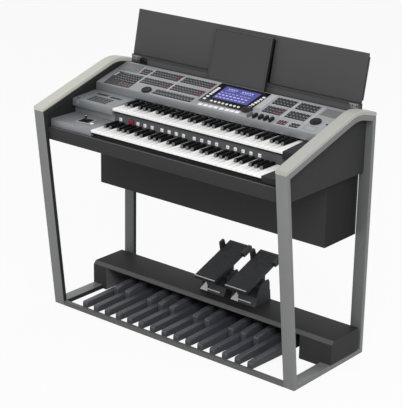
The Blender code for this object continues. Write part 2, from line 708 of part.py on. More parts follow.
def naturals(name, front, top):
    """All naturals of one manual, joined behind by a spine over the balance rail."""
    centres = sharp_centres()
    half_gap = KEY_GAP / 2
    half_slot = SHARP_WIDTH / 2 + KEY_GAP
    notch = front + SHARP_SETBACK - KEY_GAP
    spine = front + SPINE_SETBACK
    outline = []
    for index in range(NATURALS):
        left = key_x(index) + half_gap
        right = key_x(index + 1) - half_gap
        if index - 1 in centres:
            inner = centres[index - 1] + half_slot
            outline += [(inner, spine), (inner, notch), (left, notch), (left, front)]
        else:
            outline += [(left, spine), (left, front)]
        if index in centres:
            inner = centres[index] - half_slot
            outline += [(right, front), (right, notch), (inner, notch), (inner, spine)]
        else:
            outline += [(right, front), (right, spine)]
    rear = spine + SPINE_DEPTH - GAP
    outline += [(outline[-1][0], rear), (outline[0][0], rear)]
    bm = bmesh.new()
    add_slab(bm, outline, top - KEY_THICK, top)
    return place(name, bm, KEY_WHITE, pivot_of(front, top))


def sharps(name, front, top):
    """All sharps of one manual, on arms that reach a spine in front of the balance rail."""
    half = SHARP_WIDTH / 2
    low = top - KEY_THICK
    start = front + SHARP_SETBACK
    end = front + SHARP_REAR
    spine_rear = front + SPINE_SETBACK - KEY_GAP
    spine_front = spine_rear - SPINE_DEPTH
    spine_top = low - SHARP_SPINE_DROP
    profile = [(start, low), (spine_front, low), (spine_front, spine_top)]
    profile += [(spine_rear, spine_top), (spine_rear, top - KEY_GAP), (end, top - KEY_GAP)]
    profile += [(end, top + SHARP_RISE), (start + SHARP_SLOPE, top + SHARP_RISE), (start, top)]
    bm = bmesh.new()
    for centre in sharp_centres().values():
        add_prism(bm, profile, centre - half, centre + half)
    arms = place(name, bm, KEY_BLACK, pivot_of(front, top))
    spine = boxes(name + "_spine", [((KEYS_LEFT, spine_front, spine_top - SHARP_SPINE_THICK),
                                     (KEYS_RIGHT, spine_rear, spine_top + GAP))])
    return combine(arms, spine, "UNION")


def cheek(bm, x0, x1, front, deck, rise, rear_rise):
    """A block beside the keys, whose top climbs to the panel's height further back."""
    outline = [(front, deck), (CASE_BACK, deck), (CASE_BACK, deck + rear_rise)]
    outline += [(PANEL_FRONT, deck + rear_rise), (front, deck + rise)]
    add_prism(bm, outline, x0, x1)


def slip_and_rail(name, front, top, deck):
    """The strip under the keys' fronts, and the balance rail that both combs bear on.

    The naturals lie on the rail, and the sharps' spine bears on the nose along its top.
    """
    slip = front + SLIP_SETBACK
    rail = front + SPINE_SETBACK
    seat = top - KEY_THICK - GAP
    nose = rail - KEY_GAP + GAP
    outline = [(rail, deck - GAP), (rail + SPINE_DEPTH, deck - GAP), (rail + SPINE_DEPTH, seat)]
    outline += [(nose, seat), (nose, seat - RAIL_NOSE_HEIGHT), (rail, seat - RAIL_NOSE_HEIGHT)]
    bm = bmesh.new()
    add_box(bm, (KEYS_LEFT, slip, deck - GAP), (KEYS_RIGHT, slip + SLIP_THICK, deck + SLIP_HEIGHT))
    add_prism(bm, outline, KEYS_LEFT, KEYS_RIGHT)
    return place(name, bm, None)


def lower_manual_case():
    """The tray that holds the lower manual, with a block at each end of the keys."""
    inset = TUBE_DEPTH + FASCIA_THICK + GAP
    back = CASE_BACK
    low = BED_TOP + GAP
    front = leg_at(low, inset)
    tray = [(front, low), (back, low), (back, LEDGE_HEIGHT), (leg_at(LEDGE_HEIGHT, inset), LEDGE_HEIGHT)]
    bm = bmesh.new()
    add_prism(bm, tray, -CASE_HALF, CASE_HALF)
    case = place("lower_manual_case", bm, PANEL_SILVER)
    bm = bmesh.new()
    cheek_top = LEDGE_HEIGHT + CHEEK_RISE
    add_box(bm, (-CASE_HALF, LOWER_KEY_FRONT, LEDGE_HEIGHT + GAP),
            (KEYS_LEFT - KEY_GAP, back, cheek_top))
    add_box(bm, (KEYS_RIGHT + KEY_GAP, LOWER_KEY_FRONT, LEDGE_HEIGHT + GAP),
            (CASE_HALF, back, LEDGE_HEIGHT + RIGHT_BLOCK_RISE))
    blocks = place("lower_blocks", bm, None)
    seats = boxes("lower_block_seats", [
        ((-CASE_HALF, front, LEDGE_HEIGHT - GAP), (KEYS_LEFT - KEY_GAP, back, LEDGE_HEIGHT + 2 * GAP)),
        ((KEYS_RIGHT + KEY_GAP, front, LEDGE_HEIGHT - GAP), (CASE_HALF, back, LEDGE_HEIGHT + 2 * GAP))])
    rails = slip_and_rail("lower_rails", LOWER_KEY_FRONT, LOWER_KEY_TOP, LEDGE_HEIGHT)
    room = boxes("lower_room", [((CASE_WALL - CASE_HALF, front + CASE_WALL, BED_BOTTOM),
                                 (CASE_HALF - CASE_WALL, back - CASE_WALL,
                                  LEDGE_HEIGHT - CASE_WALL))])
    well = place_well(cheek_top)
    combine(case, blocks, "UNION")
    combine(case, seats, "UNION")
    combine(case, rails, "UNION")
    combine(case, room, "DIFFERENCE")
    return combine(case, well, "DIFFERENCE")


def place_well(top):
    """The cutter for the joystick's square well, which is turned a little."""
    bm = bmesh.new()
    half = JOYSTICK_WELL / 2
    verts = add_box(bm, (-half, -half, -JOYSTICK_WELL_DEPTH), (half, half, JOYSTICK_WELL_DEPTH))
    turn = Matrix.Rotation(JOYSTICK_WELL_TURN, 4, "Z")
    bmesh.ops.transform(bm, matrix=Matrix.Translation((JOYSTICK_X, JOYSTICK_Y, top)) @ turn, verts=verts)
    return place("joystick_well", bm, None)


def preset_x():
    """Centres of the 18 preset buttons."""
    centres = list(PRESET_SINGLES)
    for first in PRESET_FOURS:
        centres += [first + PRESET_PITCH * step for step in range(4)]
    return centres


def upper_manual_case():
    """The tray of the upper manual: end blocks, and the preset strip as its front wall."""
    back = CASE_BACK
    left_low = LEDGE_HEIGHT + CHEEK_RISE + GAP
    rear_rise = PANEL_FRONT_BOTTOM - GAP - UPPER_DECK
    wall_back = STRIP_FRONT + SLIP_THICK
    case = boxes("upper_manual_case", [((-CASE_HALF, STRIP_FRONT, left_low),
                                        (CASE_HALF, back, UPPER_DECK))], PANEL_SILVER)
    room = boxes("upper_room", [((CASE_WALL - CASE_HALF, wall_back, left_low - CASE_WALL),
                                 (CASE_HALF - CASE_WALL, back + CASE_WALL,
                                  UPPER_DECK - CASE_WALL))])
    foot = boxes("upper_right_foot", [
        ((CASE_HALF - CASE_WALL, wall_back, LEDGE_HEIGHT + RIGHT_BLOCK_RISE + GAP),
         (CASE_HALF, back, left_low + GAP))])
    bm = bmesh.new()
    cheek(bm, -CASE_HALF, KEYS_LEFT - KEY_GAP, UPPER_KEY_FRONT, UPPER_DECK - GAP,
          UPPER_CHEEK_RISE, rear_rise + GAP)
    cheek(bm, KEYS_RIGHT + KEY_GAP, CASE_HALF, UPPER_KEY_FRONT, UPPER_DECK - GAP,
          UPPER_CHEEK_RISE, rear_rise + GAP)
    blocks = place("upper_blocks", bm, None)
    rails = slip_and_rail("upper_rails", UPPER_KEY_FRONT, UPPER_KEY_TOP, UPPER_DECK)
    hole = PRESET_SIZE / 2 + GAP
    holes = boxes("preset_holes", [
        ((x - hole, STRIP_FRONT - GAP, PRESET_HEIGHT - hole),
         (x + hole, wall_back + GAP, PRESET_HEIGHT + hole)) for x in preset_x()])
    combine(case, room, "DIFFERENCE")
    combine(case, foot, "UNION")
    combine(case, blocks, "UNION")
    combine(case, rails, "UNION")
    return combine(case, holes, "DIFFERENCE")


def preset_buttons():
    """The rubber mat of preset buttons, whose keys stand out of the strip's holes."""
    back = STRIP_FRONT + SLIP_THICK + GAP
    half = PRESET_SIZE / 2
    low = PRESET_HEIGHT - PRESET_MAT_HEIGHT / 2
    xs = preset_x()
    mat = boxes("preset_buttons", [((min(xs) - 2 * half, back, low),
                                    (max(xs) + 2 * half, back + PRESET_MAT_THICK,
                                     low + PRESET_MAT_HEIGHT))], BUTTON_WHITE)
    keys = boxes("preset_keys", [((x - half, STRIP_FRONT - PRESET_PROUD, PRESET_HEIGHT - half),
                                  (x + half, back + GAP, PRESET_HEIGHT + half)) for x in xs])
    return combine(mat, keys, "UNION")


# Control panel

def panel_point(x, along, lift):
    """A point on the sloping control panel, lift above its face."""
    y = PANEL_FRONT + along * math.cos(PANEL_SLOPE) - lift * math.sin(PANEL_SLOPE)
    z = PANEL_FRONT_TOP + along * math.sin(PANEL_SLOPE) + lift * math.cos(PANEL_SLOPE)
    return Vector((x, y, z))


def panel_frame(x, along, lift):
    """The matrix that seats a piece on the control panel's face."""
    return Matrix.Translation(panel_point(x, along, lift)) @ Matrix.Rotation(PANEL_SLOPE, 4, "X")


def panel_box(bm, low, high):
    """Adds a box given in the panel's own coordinates: across, along its slope, and up."""
    verts = add_box(bm, low, high)
    bmesh.ops.transform(bm, matrix=panel_frame(0, 0, 0), verts=verts)


def control_panel():
    """The sloping top housing, open below, with a shallow pocket for the display."""
    wall = PANEL_WALL
    slope = math.tan(PANEL_SLOPE)
    drop = wall / math.cos(PANEL_SLOPE)
    outline = [(PANEL_FRONT, PANEL_FRONT_BOTTOM), (PANEL_REAR, PANEL_FRONT_BOTTOM)]
    outline += [(PANEL_REAR, PANEL_REAR_TOP), (PANEL_FRONT, PANEL_FRONT_TOP)]
    bm = bmesh.new()
    add_prism(bm, outline, -CASE_HALF, CASE_HALF)
    housing = place("control_panel", bm, PANEL_SILVER)
    below = PANEL_FRONT_BOTTOM - wall
    room = [(PANEL_FRONT + wall, below), (PANEL_REAR - wall, below)]
    room += [(PANEL_REAR - wall, PANEL_REAR_TOP - wall * slope - drop)]
    room += [(PANEL_FRONT + wall, PANEL_FRONT_TOP + wall * slope - drop)]
    bm = bmesh.new()
    add_prism(bm, room, wall - CASE_HALF, CASE_HALF - wall)
    combine(housing, place("panel_room", bm, None), "DIFFERENCE")
    bm = bmesh.new()
    panel_box(bm, (DISPLAY_LEFT - GAP, DISPLAY_NEAR - GAP, -DISPLAY_POCKET),
              (DISPLAY_RIGHT + GAP, DISPLAY_FAR + GAP, DISPLAY_POCKET))
    return combine(housing, place("display_pocket", bm, None), "DIFFERENCE")


def display_screen():
    """The glass bezel with the screen, let into the control panel."""
    bm = bmesh.new()
    panel_box(bm, (DISPLAY_LEFT, DISPLAY_NEAR, GAP - DISPLAY_POCKET),
              (DISPLAY_RIGHT, DISPLAY_FAR, DISPLAY_PROUD))
    return place("display_screen", bm, SCREEN_BLUE)


def knob(name, spot, lift):
    """A low round knob on the control panel, turned about the panel's normal."""
    x, along, radius = spot
    edge = KNOB_EDGE
    dish = radius - KNOB_RIM
    profile = [(0, 0), (radius - edge, 0), (radius, edge), (radius, KNOB_HEIGHT - 2 * edge)]
    profile += [(radius - edge, KNOB_HEIGHT - edge / 2), (dish, KNOB_HEIGHT)]
    profile += [(dish - KNOB_DISH_EDGE, KNOB_HEIGHT - edge), (0, KNOB_HEIGHT - edge)]
    bm = bmesh.new()
    seat = panel_frame(x, along, lift)
    add_turned(bm, profile, 28, seat)
    return smooth(place(name, bm, KEY_BLACK, seat.translation))


def joystick():
    """A short stick on a ball, standing in its well."""
    floor = LEDGE_HEIGHT + CHEEK_RISE - JOYSTICK_WELL_DEPTH
    seat = (JOYSTICK_X, JOYSTICK_Y, floor + GAP + JOYSTICK_BALL)
    profile = [(0, -JOYSTICK_BALL)]
    for step in range(1, 9):
        turn = math.pi * step / 10
        profile.append((JOYSTICK_BALL * math.sin(turn), -JOYSTICK_BALL * math.cos(turn)))
    stick = profile[-1][0]
    tip = JOYSTICK_HEIGHT - JOYSTICK_BALL
    profile += [(stick, tip - JOYSTICK_HEAD), (stick + JOYSTICK_HEAD_EDGE, tip - JOYSTICK_HEAD / 2)]
    profile += [(stick, tip - JOYSTICK_HEAD_EDGE), (0, tip)]
    bm = bmesh.new()
    add_turned(bm, profile, 20, Matrix.Translation(seat))
    return smooth(place("joystick", bm, KEY_BLACK, seat))


# Lid and music rest

def lid_frame(lift):
    """The matrix of the lid's hinge line: local Z runs up the lid, local Y through it."""
    return Matrix.Translation((0, LID_Y, LID_Z)) @ Matrix.Rotation(-LID_LEAN, 4, "X") \
        @ Matrix.Translation((0, lift, 0))


def lid_leaves():
    """The lid's front leaf, and the second leaf folded behind it on tabs to the top hinge."""
    bm = bmesh.new()
    verts = add_box(bm, (-LID_HALF, 0, 0), (LID_HALF, LID_THICK, LID_HEIGHT))
    bmesh.ops.transform(bm, matrix=lid_frame(0), verts=verts)
    place("lid_front_leaf", bm, LID_GREY, (0, LID_Y, LID_Z))
    back = LID_THICK + LID_LEAF_GAP
    hinge = lid_frame(back - LID_LEAF_GAP / 2) @ Vector((0, 0, LID_HEIGHT))
    bm = bmesh.new()
    verts = add_box(bm, (-LID_HALF, back, LID_LEAF_FOOT),
                    (LID_HALF, back + LID_THICK, LID_HEIGHT - LID_LEAF_DROP))
    bmesh.ops.transform(bm, matrix=lid_frame(0), verts=verts)
    leaf = place("lid_rear_leaf", bm, LID_GREY, hinge)
    bm = bmesh.new()
    half = LID_TAB_WIDTH / 2
    for x in LID_TAB_X:
        verts = add_box(bm, (x - half, back, LID_HEIGHT - 2 * LID_LEAF_DROP),
                        (x + half, back + LID_TAB_THICK, LID_HEIGHT - GAP))
        bmesh.ops.transform(bm, matrix=lid_frame(0), verts=verts)
    return combine(leaf, place("lid_tabs", bm, None), "UNION")


def music_rest():
    """The board that stands on the control panel's rear edge and folds down over it."""
    seat = Vector((0, PANEL_REAR, PANEL_REAR_TOP + GAP))
    bm = bmesh.new()
    add_box(bm, (REST_CENTRE - REST_HALF, 0, 0), (REST_CENTRE + REST_HALF, REST_THICK, REST_HEIGHT))
    rims = [edge for edge in bm.edges if max(vert.co.z for vert in edge.verts) > REST_HEIGHT / 2]
    bmesh.ops.bevel(bm, geom=rims, offset=REST_EDGE, segments=2, profile=0.5, affect="EDGES",
                    material=-1)
    lean = Matrix.Translation(seat) @ Matrix.Rotation(-REST_LEAN, 4, "X")
    bmesh.ops.transform(bm, matrix=lean, verts=bm.verts)
    return place("music_rest", bm, CASE_BLACK, seat)


def lid_hinge():
    """The hinge leaf along the strip below the lid, with a screwed plate at each end."""
    back = REAR_PANEL_FRONT
    front = back - BRACKET_THICK
    plates = []
    for side in (-1, 1):
        x = side * BRACKET_X
        plates.append(((x - BRACKET_WIDTH / 2, front, BRACKET_Z - BRACKET_HEIGHT / 2),
                       (x + BRACKET_WIDTH / 2, back, BRACKET_Z + BRACKET_HEIGHT / 2)))
    top = BRACKET_Z + BRACKET_HEIGHT / 2 - GAP
    leaf = boxes("lid_hinge", [((-BRACKET_X, front + GAP, top - HINGE_LEAF_HEIGHT),
                                (BRACKET_X, back - GAP, top))], STEEL)
    return combine(leaf, boxes("hinge_plates", plates), "UNION")


# Pedal box and pedals

def pedal_box():
    """The box over the pedals' heels: it stands on the side frames and drops between them."""
    half = HALF_INNER + TUBE_WIDTH
    drop = HALF_INNER - GAP
    outline = [(BOX_FRONT, TUBE_DEPTH + GAP), (BOX_REAR, TUBE_DEPTH + GAP), (BOX_REAR, BOX_TOP)]
    outline += [(BOX_FRONT + BOX_CHAMFER, BOX_TOP), (BOX_FRONT, BOX_TOP - BOX_CHAMFER)]
    bm = bmesh.new()
    add_prism(bm, outline, -half, half)
    box = place("pedal_box", bm, CASE_BLACK)
    skirt = boxes("box_skirt", [((-drop, BOX_FRONT, BOX_BOTTOM), (drop, BOX_REAR, BOX_TOP / 2))])
    inner_top = BOX_TOP - BOX_TOP_THICK
    inner_rear = BOX_REAR - BOX_REAR_THICK
    room = boxes("box_room", [
        ((BOX_OPENING_LEFT, BOX_FRONT - BOX_CHAMFER, 0), (BOX_OPENING_RIGHT, inner_rear, inner_top))])
    end_room = boxes("box_end_room", [
        ((BOX_OPENING_RIGHT + BOX_END_WALL, BOX_FRONT + BOX_END_WALL, 0),
         (drop - BOX_END_WALL, inner_rear, inner_top))])
    bar = BOX_FRONT + CROSSBAR_SETBACK
    rails = boxes("box_rails", [
        ((BOX_OPENING_LEFT - GAP, bar, CROSSBAR_BOTTOM),
         (BOX_OPENING_RIGHT + GAP, bar + CROSSBAR_THICK, inner_top + GAP)),
        ((BOX_OPENING_LEFT - GAP, PEDAL_PIVOT_Y - PIVOT_RAIL_REACH, BOX_BOTTOM),
         (BOX_OPENING_RIGHT + GAP, inner_rear + GAP, PEDAL_PIVOT_Z - PEDAL_PIVOT_RADIUS - GAP))])
    combine(box, skirt, "UNION")
    combine(box, room, "DIFFERENCE")
    combine(box, end_room, "DIFFERENCE")
    return combine(box, rails, "UNION")


def pedal_heel():
    """Outline points of a pedal's rounded heel, from its top round to its underside."""
    points = []
    for step in range(7):
        turn = math.pi / 2 - math.pi * step / 6
        points.append((PEDAL_PIVOT_Y + PEDAL_PIVOT_RADIUS * math.cos(turn),
                       PEDAL_PIVOT_Z + PEDAL_PIVOT_RADIUS * math.sin(turn)))
    return points


def pedal_nose(front, top):
    """Outline points round the upper front corner of a pedal or of its block."""
    points = []
    for step in range(4):
        turn = math.pi - math.pi / 2 * step / 3
        points.append((front + PEDAL_CORNER * (1 + math.cos(turn)),
                       top - PEDAL_CORNER * (1 - math.sin(turn))))
    return points


def pedal(name, centre, raised):
    """One pedal, hinged at its heel; a raised one is shorter and carries a block."""
    tip = SHARP_PEDAL_FRONT if raised else PEDAL_TIP
    reach = (tip - PEDAL_TIP) / (PEDAL_REST_Y - PEDAL_TIP)
    tip_low = SHARP_PEDAL_TIP_BOTTOM if raised else PEDAL_TIP_BOTTOM
    tip_top = PEDAL_TIP_TOP + (PEDAL_TOP - PEDAL_TIP_TOP) * reach
    outline = [(tip, tip_low)]
    if raised:
        middle = (tip + SHARP_PEDAL_REAR) / 2
        outline += pedal_nose(tip, SHARP_PEDAL_TOP - SHARP_PEDAL_FALL)
        outline += [(middle, SHARP_PEDAL_TOP - SHARP_PEDAL_FALL / 4)]
        outline += [(SHARP_PEDAL_REAR, SHARP_PEDAL_TOP), (SHARP_PEDAL_REAR, PEDAL_TOP)]
    else:
        outline += pedal_nose(tip, tip_top)
    outline += [(PEDAL_REST_Y, PEDAL_TOP)]
    outline += pedal_heel()
    outline += [(PEDAL_PIVOT_Y - 2 * PEDAL_PIVOT_RADIUS, PEDAL_PIVOT_Z - PEDAL_PIVOT_RADIUS)]
    outline += [(PEDAL_REST_Y, PEDAL_HEEL_BOTTOM)]
    half = PEDAL_WIDTH / 2
    bm = bmesh.new()
    add_prism(bm, outline, centre - half, centre + half)
    material = KEY_BLACK if raised else PEDAL_SLATE
    made = place(name, bm, material, (centre, PEDAL_PIVOT_Y, PEDAL_PIVOT_Z))
    return soften(made, PEDAL_EDGE)


def pedalboard():
    """Fifteen naturals and ten raised pedals, C to C."""
    for index in range(PEDAL_NATURALS):
        centre = PEDAL_FIRST_X + index * PEDAL_PITCH
        pedal("natural_pedal_%02d" % (index + 1), centre, False)
    count = 0
    for index in range(PEDAL_NATURALS - 1):
        if index % OCTAVE in PEDAL_SHARP_AFTER:
            count += 1
            centre = PEDAL_FIRST_X + (index + 0.5) * PEDAL_PITCH
            pedal("sharp_pedal_%02d" % count, centre, True)


# Swell pedals

def swell_base(name, centre):
    """The wedge on the pedal box, with a cheek at each side of the treadle's hub and a wall behind it."""
    floor = BOX_TOP + GAP
    half = SWELL_BASE_WIDTH / 2
    body = [(SWELL_BASE_FRONT, floor), (SWELL_BASE_REAR, floor)]
    body += [(SWELL_BASE_REAR - SWELL_BODY_REAR_RUN, floor + SWELL_BODY_REAR_HEIGHT)]
    body += [(SWELL_BASE_FRONT + SWELL_BODY_FRONT_RUN, floor + SWELL_BODY_FRONT_HEIGHT)]
    bm = bmesh.new()
    add_prism(bm, body, centre - half, centre + half)
    base = place(name, bm, CASE_BLACK)
    reach = SWELL_HUB_RADIUS + SWELL_CHEEK_RIM
    foot = floor + SWELL_CHEEK_FOOT
    top = SWELL_PIVOT_Z + reach
    cheek_side = [(SWELL_BASE_FRONT + SWELL_CHEEK, foot), (SWELL_BASE_REAR - SWELL_CHEEK, foot)]
    cheek_side += [(SWELL_BASE_REAR - SWELL_CHEEK - SWELL_WALL_RUN, floor + SWELL_WALL_HEIGHT)]
    cheek_side += [(SWELL_PIVOT_Y + SWELL_CHEEK_TOP_REAR, top), (SWELL_PIVOT_Y - reach, top)]
    cheek_side += [(SWELL_BASE_FRONT + SWELL_SHOULDER_RUN, floor + SWELL_SHOULDER_HEIGHT)]
    bm = bmesh.new()
    add_prism(bm, cheek_side, centre - half, centre - half + SWELL_CHEEK)
    add_prism(bm, cheek_side, centre + half - SWELL_CHEEK, centre + half)
    combine(base, place(name + "_cheeks", bm, None), "UNION")
    wall_front = SWELL_PIVOT_Y + SWELL_HUB_RADIUS + SWELL_WALL_CLEAR
    wall = [(wall_front, foot), (SWELL_BASE_REAR - 2 * SWELL_CHEEK, foot)]
    wall += [(SWELL_BASE_REAR - 2 * SWELL_CHEEK - SWELL_WALL_RUN, floor + SWELL_WALL_HEIGHT - JOIN)]
    wall += [(wall_front, floor + SWELL_WALL_HEIGHT - JOIN)]
    bm = bmesh.new()
    add_prism(bm, wall, centre - half + 4 * JOIN, centre + half - 4 * JOIN)
    return combine(base, place(name + "_wall", bm, None), "UNION")


def treadle_point(along, lift):
    """A point (y, z) on a treadle's side view: along its top face, lift above it."""
    y = TREADLE_FRONT + along * math.cos(TREADLE_LEAN) - lift * math.sin(TREADLE_LEAN)
    z = TREADLE_FRONT_TOP + along * math.sin(TREADLE_LEAN) + lift * math.cos(TREADLE_LEAN)
    return (y, z)


def swell_pedal(name, centre):
    """A treadle that tilts on its hub, with a toe lever at each side of its upper end."""
    half = TREADLE_WIDTH / 2
    pivot = (centre, SWELL_PIVOT_Y, SWELL_PIVOT_Z)
    plate = [treadle_point(0, 0), treadle_point(0, -TREADLE_THICK)]
    plate += [treadle_point(TREADLE_LENGTH, -TREADLE_THICK), treadle_point(TREADLE_LENGTH, 0)]
    bm = bmesh.new()
    add_prism(bm, plate, centre - half, centre + half)
    treadle = soften(place(name, bm, DARK_GREY, pivot), TREADLE_EDGE)
    hub_half = SWELL_BASE_WIDTH / 2 - SWELL_CHEEK - GAP
    web = [(SWELL_PIVOT_Y - SWELL_HUB_RADIUS, SWELL_PIVOT_Z)]
    for step in range(1, 12):
        turn = math.pi + math.pi * step / 12
        web.append((SWELL_PIVOT_Y + SWELL_HUB_RADIUS * math.cos(turn),
                    SWELL_PIVOT_Z + SWELL_HUB_RADIUS * math.sin(turn)))
    web += [(SWELL_PIVOT_Y + SWELL_HUB_RADIUS, SWELL_PIVOT_Z)]
    neck = [(web[-1][0], SWELL_PIVOT_Z + SWELL_NECK_REAR), (web[0][0], SWELL_PIVOT_Z + SWELL_NECK_FRONT)]
    bm = bmesh.new()
    add_prism(bm, web + neck, centre - half + GAP, centre + half - GAP)
    hub = place(name + "_hub", bm, None)
    hub_top = SWELL_PIVOT_Z + SWELL_HUB_RADIUS
    bm = bmesh.new()
    add_prism(bm, web + [(web[-1][0], hub_top), (web[0][0], hub_top)],
              centre - hub_half, centre + hub_half)
    ends = place(name + "_hub_ends", bm, None)
    low = 3 * JOIN - TREADLE_THICK
    top = TREADLE_LENGTH - TOE_LEVER_INSET
    lever = [treadle_point(top - TOE_LEVER_LENGTH, low), treadle_point(top, low)]
    lever += [treadle_point(top, TOE_LEVER_RISE), treadle_point(top - TOE_LEVER_TIP, TOE_LEVER_RISE)]
    bm = bmesh.new()
    add_prism(bm, lever, centre - half - TOE_LEVER_WIDTH, centre - half + 4 * JOIN)
    top = TREADLE_LENGTH - TOE_LUMP_INSET
    lump = [treadle_point(top - TOE_LUMP_LENGTH, low), treadle_point(top, low)]
    lump += [treadle_point(top, TOE_LUMP_RISE), treadle_point(top - TOE_LUMP_LENGTH, TOE_LUMP_RISE)]
    add_prism(bm, lump, centre + half - 4 * JOIN, centre + half + TOE_LUMP_WIDTH)
    levers = place(name + "_levers", bm, None)
    combine(treadle, hub, "UNION")
    combine(treadle, ends, "UNION")
    return combine(treadle, levers, "UNION")


# The organ

def build():
    """Builds every piece."""
    for side, word in ((-1, "left"), (1, "right")):
        side_frame(word + "_side_frame", side)
        top_rail(word + "_top_rail", side)
        side_panel(word + "_side_panel", side)
    front_foot_bar()
    front_fascia()
    key_bed()
    lower_cabinet()
    speaker_baffle()
    rear_panel()
    main_board()
    lower_manual_case()
    naturals("lower_naturals", LOWER_KEY_FRONT, LOWER_KEY_TOP)
    sharps("lower_sharps", LOWER_KEY_FRONT, LOWER_KEY_TOP)
    upper_manual_case()
    naturals("upper_naturals", UPPER_KEY_FRONT, UPPER_KEY_TOP)
    sharps("upper_sharps", UPPER_KEY_FRONT, UPPER_KEY_TOP)
    preset_buttons()
    control_panel()
    display_screen()
    knob("left_knob", LEFT_KNOB, GAP)
    knob("right_knob", RIGHT_KNOB, GAP)
    knob("data_wheel", DATA_WHEEL, DISPLAY_PROUD + GAP)
    joystick()
    lid_leaves()
    music_rest()
    lid_hinge()
    pedal_box()
    pedalboard()
    for index, word in enumerate(("left", "right")):
        centre = SWELL_FIRST_X + index * SWELL_PITCH
        swell_base(word + "_swell_base", centre)
        swell_pedal(word + "_swell_pedal", centre)


build()
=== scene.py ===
"""Looks of the electronic organ: finishes, fine parts, studio and camera.

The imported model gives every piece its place. Sizes are in metres. Depths named here are
measured from the front of the stand's feet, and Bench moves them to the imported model's origin.
"""

import json
import logging
import math
from dataclasses import dataclass
from enum import Enum
from typing import Callable, Iterable, Optional, Sequence, Union

import bmesh
import bpy
from mathutils import Matrix, Vector

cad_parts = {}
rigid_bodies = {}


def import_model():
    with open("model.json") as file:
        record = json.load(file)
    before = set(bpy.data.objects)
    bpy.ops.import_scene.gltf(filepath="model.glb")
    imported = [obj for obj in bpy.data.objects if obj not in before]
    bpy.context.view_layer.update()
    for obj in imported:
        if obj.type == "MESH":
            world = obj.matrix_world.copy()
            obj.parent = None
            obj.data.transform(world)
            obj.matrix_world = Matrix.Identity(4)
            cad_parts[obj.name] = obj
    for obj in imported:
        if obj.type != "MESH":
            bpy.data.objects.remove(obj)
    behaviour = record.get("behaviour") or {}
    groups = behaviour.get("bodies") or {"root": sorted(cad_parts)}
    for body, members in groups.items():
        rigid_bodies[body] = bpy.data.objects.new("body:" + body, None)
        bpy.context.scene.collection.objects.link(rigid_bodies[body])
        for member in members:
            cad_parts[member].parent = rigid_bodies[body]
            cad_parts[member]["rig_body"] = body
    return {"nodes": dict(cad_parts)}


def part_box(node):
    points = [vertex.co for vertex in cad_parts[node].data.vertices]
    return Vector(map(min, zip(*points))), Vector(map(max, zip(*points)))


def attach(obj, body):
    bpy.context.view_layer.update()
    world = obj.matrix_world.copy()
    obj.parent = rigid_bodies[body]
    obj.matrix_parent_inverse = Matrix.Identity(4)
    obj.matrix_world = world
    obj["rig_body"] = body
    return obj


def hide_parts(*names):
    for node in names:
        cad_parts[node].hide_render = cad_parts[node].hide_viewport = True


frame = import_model()

LOG = logging.getLogger("organ")
STAND_DEPTH = 0.460
SMOOTH_ANGLE = math.radians(35)
RIM_ANGLE = math.radians(25)
FLAT_ANGLE = math.radians(0.5)
SAME_PLACE = 0.00001
FACING = 0.9
FORWARD = Matrix.Rotation(math.radians(90), 4, "X")
BACKWARD = Matrix.Rotation(math.radians(180), 4, "Z") @ FORWARD
ROOT = "stand_and_case"

Mesh = bmesh.types.BMesh
Vert = bmesh.types.BMVert
Edge = bmesh.types.BMEdge
Face = bmesh.types.BMFace
Colour = tuple[float, float, float]
Triple = tuple[float, float, float]
Spot = tuple[float, float]
Patch = tuple[float, float, float, float]


class Slot(Enum):
    """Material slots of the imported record."""

    TUBE = "tube_grey"
    CAP = "cap_cream"
    CASE = "case_black"
    SILVER = "panel_silver"
    DARK = "dark_grey"
    KNOB = "knob_black"
    IVORY = "key_white"
    EBONY = "key_black"
    SLATE = "pedal_slate"
    LID = "lid_grey"
    SCREEN = "screen_blue"
    WHITE = "button_white"
    STEEL = "steel"
    BOARD = "board_green"


# Shader formulas

class Expr:
    """A socket in a formula: maths on it adds Math nodes."""

    def __init__(self, nodes: "Nodes", socket: bpy.types.NodeSocket) -> None:
        """Keeps the socket and the nodes that it belongs to."""
        self.nodes = nodes
        self.socket = socket

    def maths(self, operation: str, first: "Value", second: "Value" = 0.0) -> "Expr":
        """Adds one Math node.

        Args:
            operation: the node's operation.
            first: value or socket of its first input.
            second: value or socket of its second input.

        Returns:
            The node's result.
        """
        node = self.nodes.node("ShaderNodeMath", {"operation": operation}, {0: first, 1: second})
        return Expr(self.nodes, node.outputs[0])

    def __add__(self, other: "Value") -> "Expr":
        """This plus other."""
        return self.maths("ADD", self, other)

    def __radd__(self, other: "Value") -> "Expr":
        """Other plus this."""
        return self.maths("ADD", other, self)

    def __sub__(self, other: "Value") -> "Expr":
        """This less other."""
        return self.maths("SUBTRACT", self, other)

    def __rsub__(self, other: "Value") -> "Expr":
        """Other less this."""
        return self.maths("SUBTRACT", other, self)

    def __mul__(self, other: "Value") -> "Expr":
        """This times other."""
        return self.maths("MULTIPLY", self, other)

    def __rmul__(self, other: "Value") -> "Expr":
        """Other times this."""
        return self.maths("MULTIPLY", other, self)

    def __truediv__(self, other: "Value") -> "Expr":
        """This divided by other."""
        return self.maths("DIVIDE", self, other)

    def __mod__(self, other: "Value") -> "Expr":
        """What is left of this after whole steps of other, never negative."""
        return self.maths("FLOORED_MODULO", self, other)

    def __lt__(self, other: "Value") -> "Expr":
        """One where this is less than other."""
        return self.maths("LESS_THAN", self, other)

    def __gt__(self, other: "Value") -> "Expr":
        """One where this is more than other."""
        return self.maths("GREATER_THAN", self, other)

    def __pow__(self, other: "Value") -> "Expr":
        """This raised to other."""
        return self.maths("POWER", self, other)

    def least(self, other: "Value") -> "Expr":
        """The lesser of this and other."""
        return self.maths("MINIMUM", self, other)

    def most(self, other: "Value") -> "Expr":
        """The greater of this and other."""
        return self.maths("MAXIMUM", self, other)


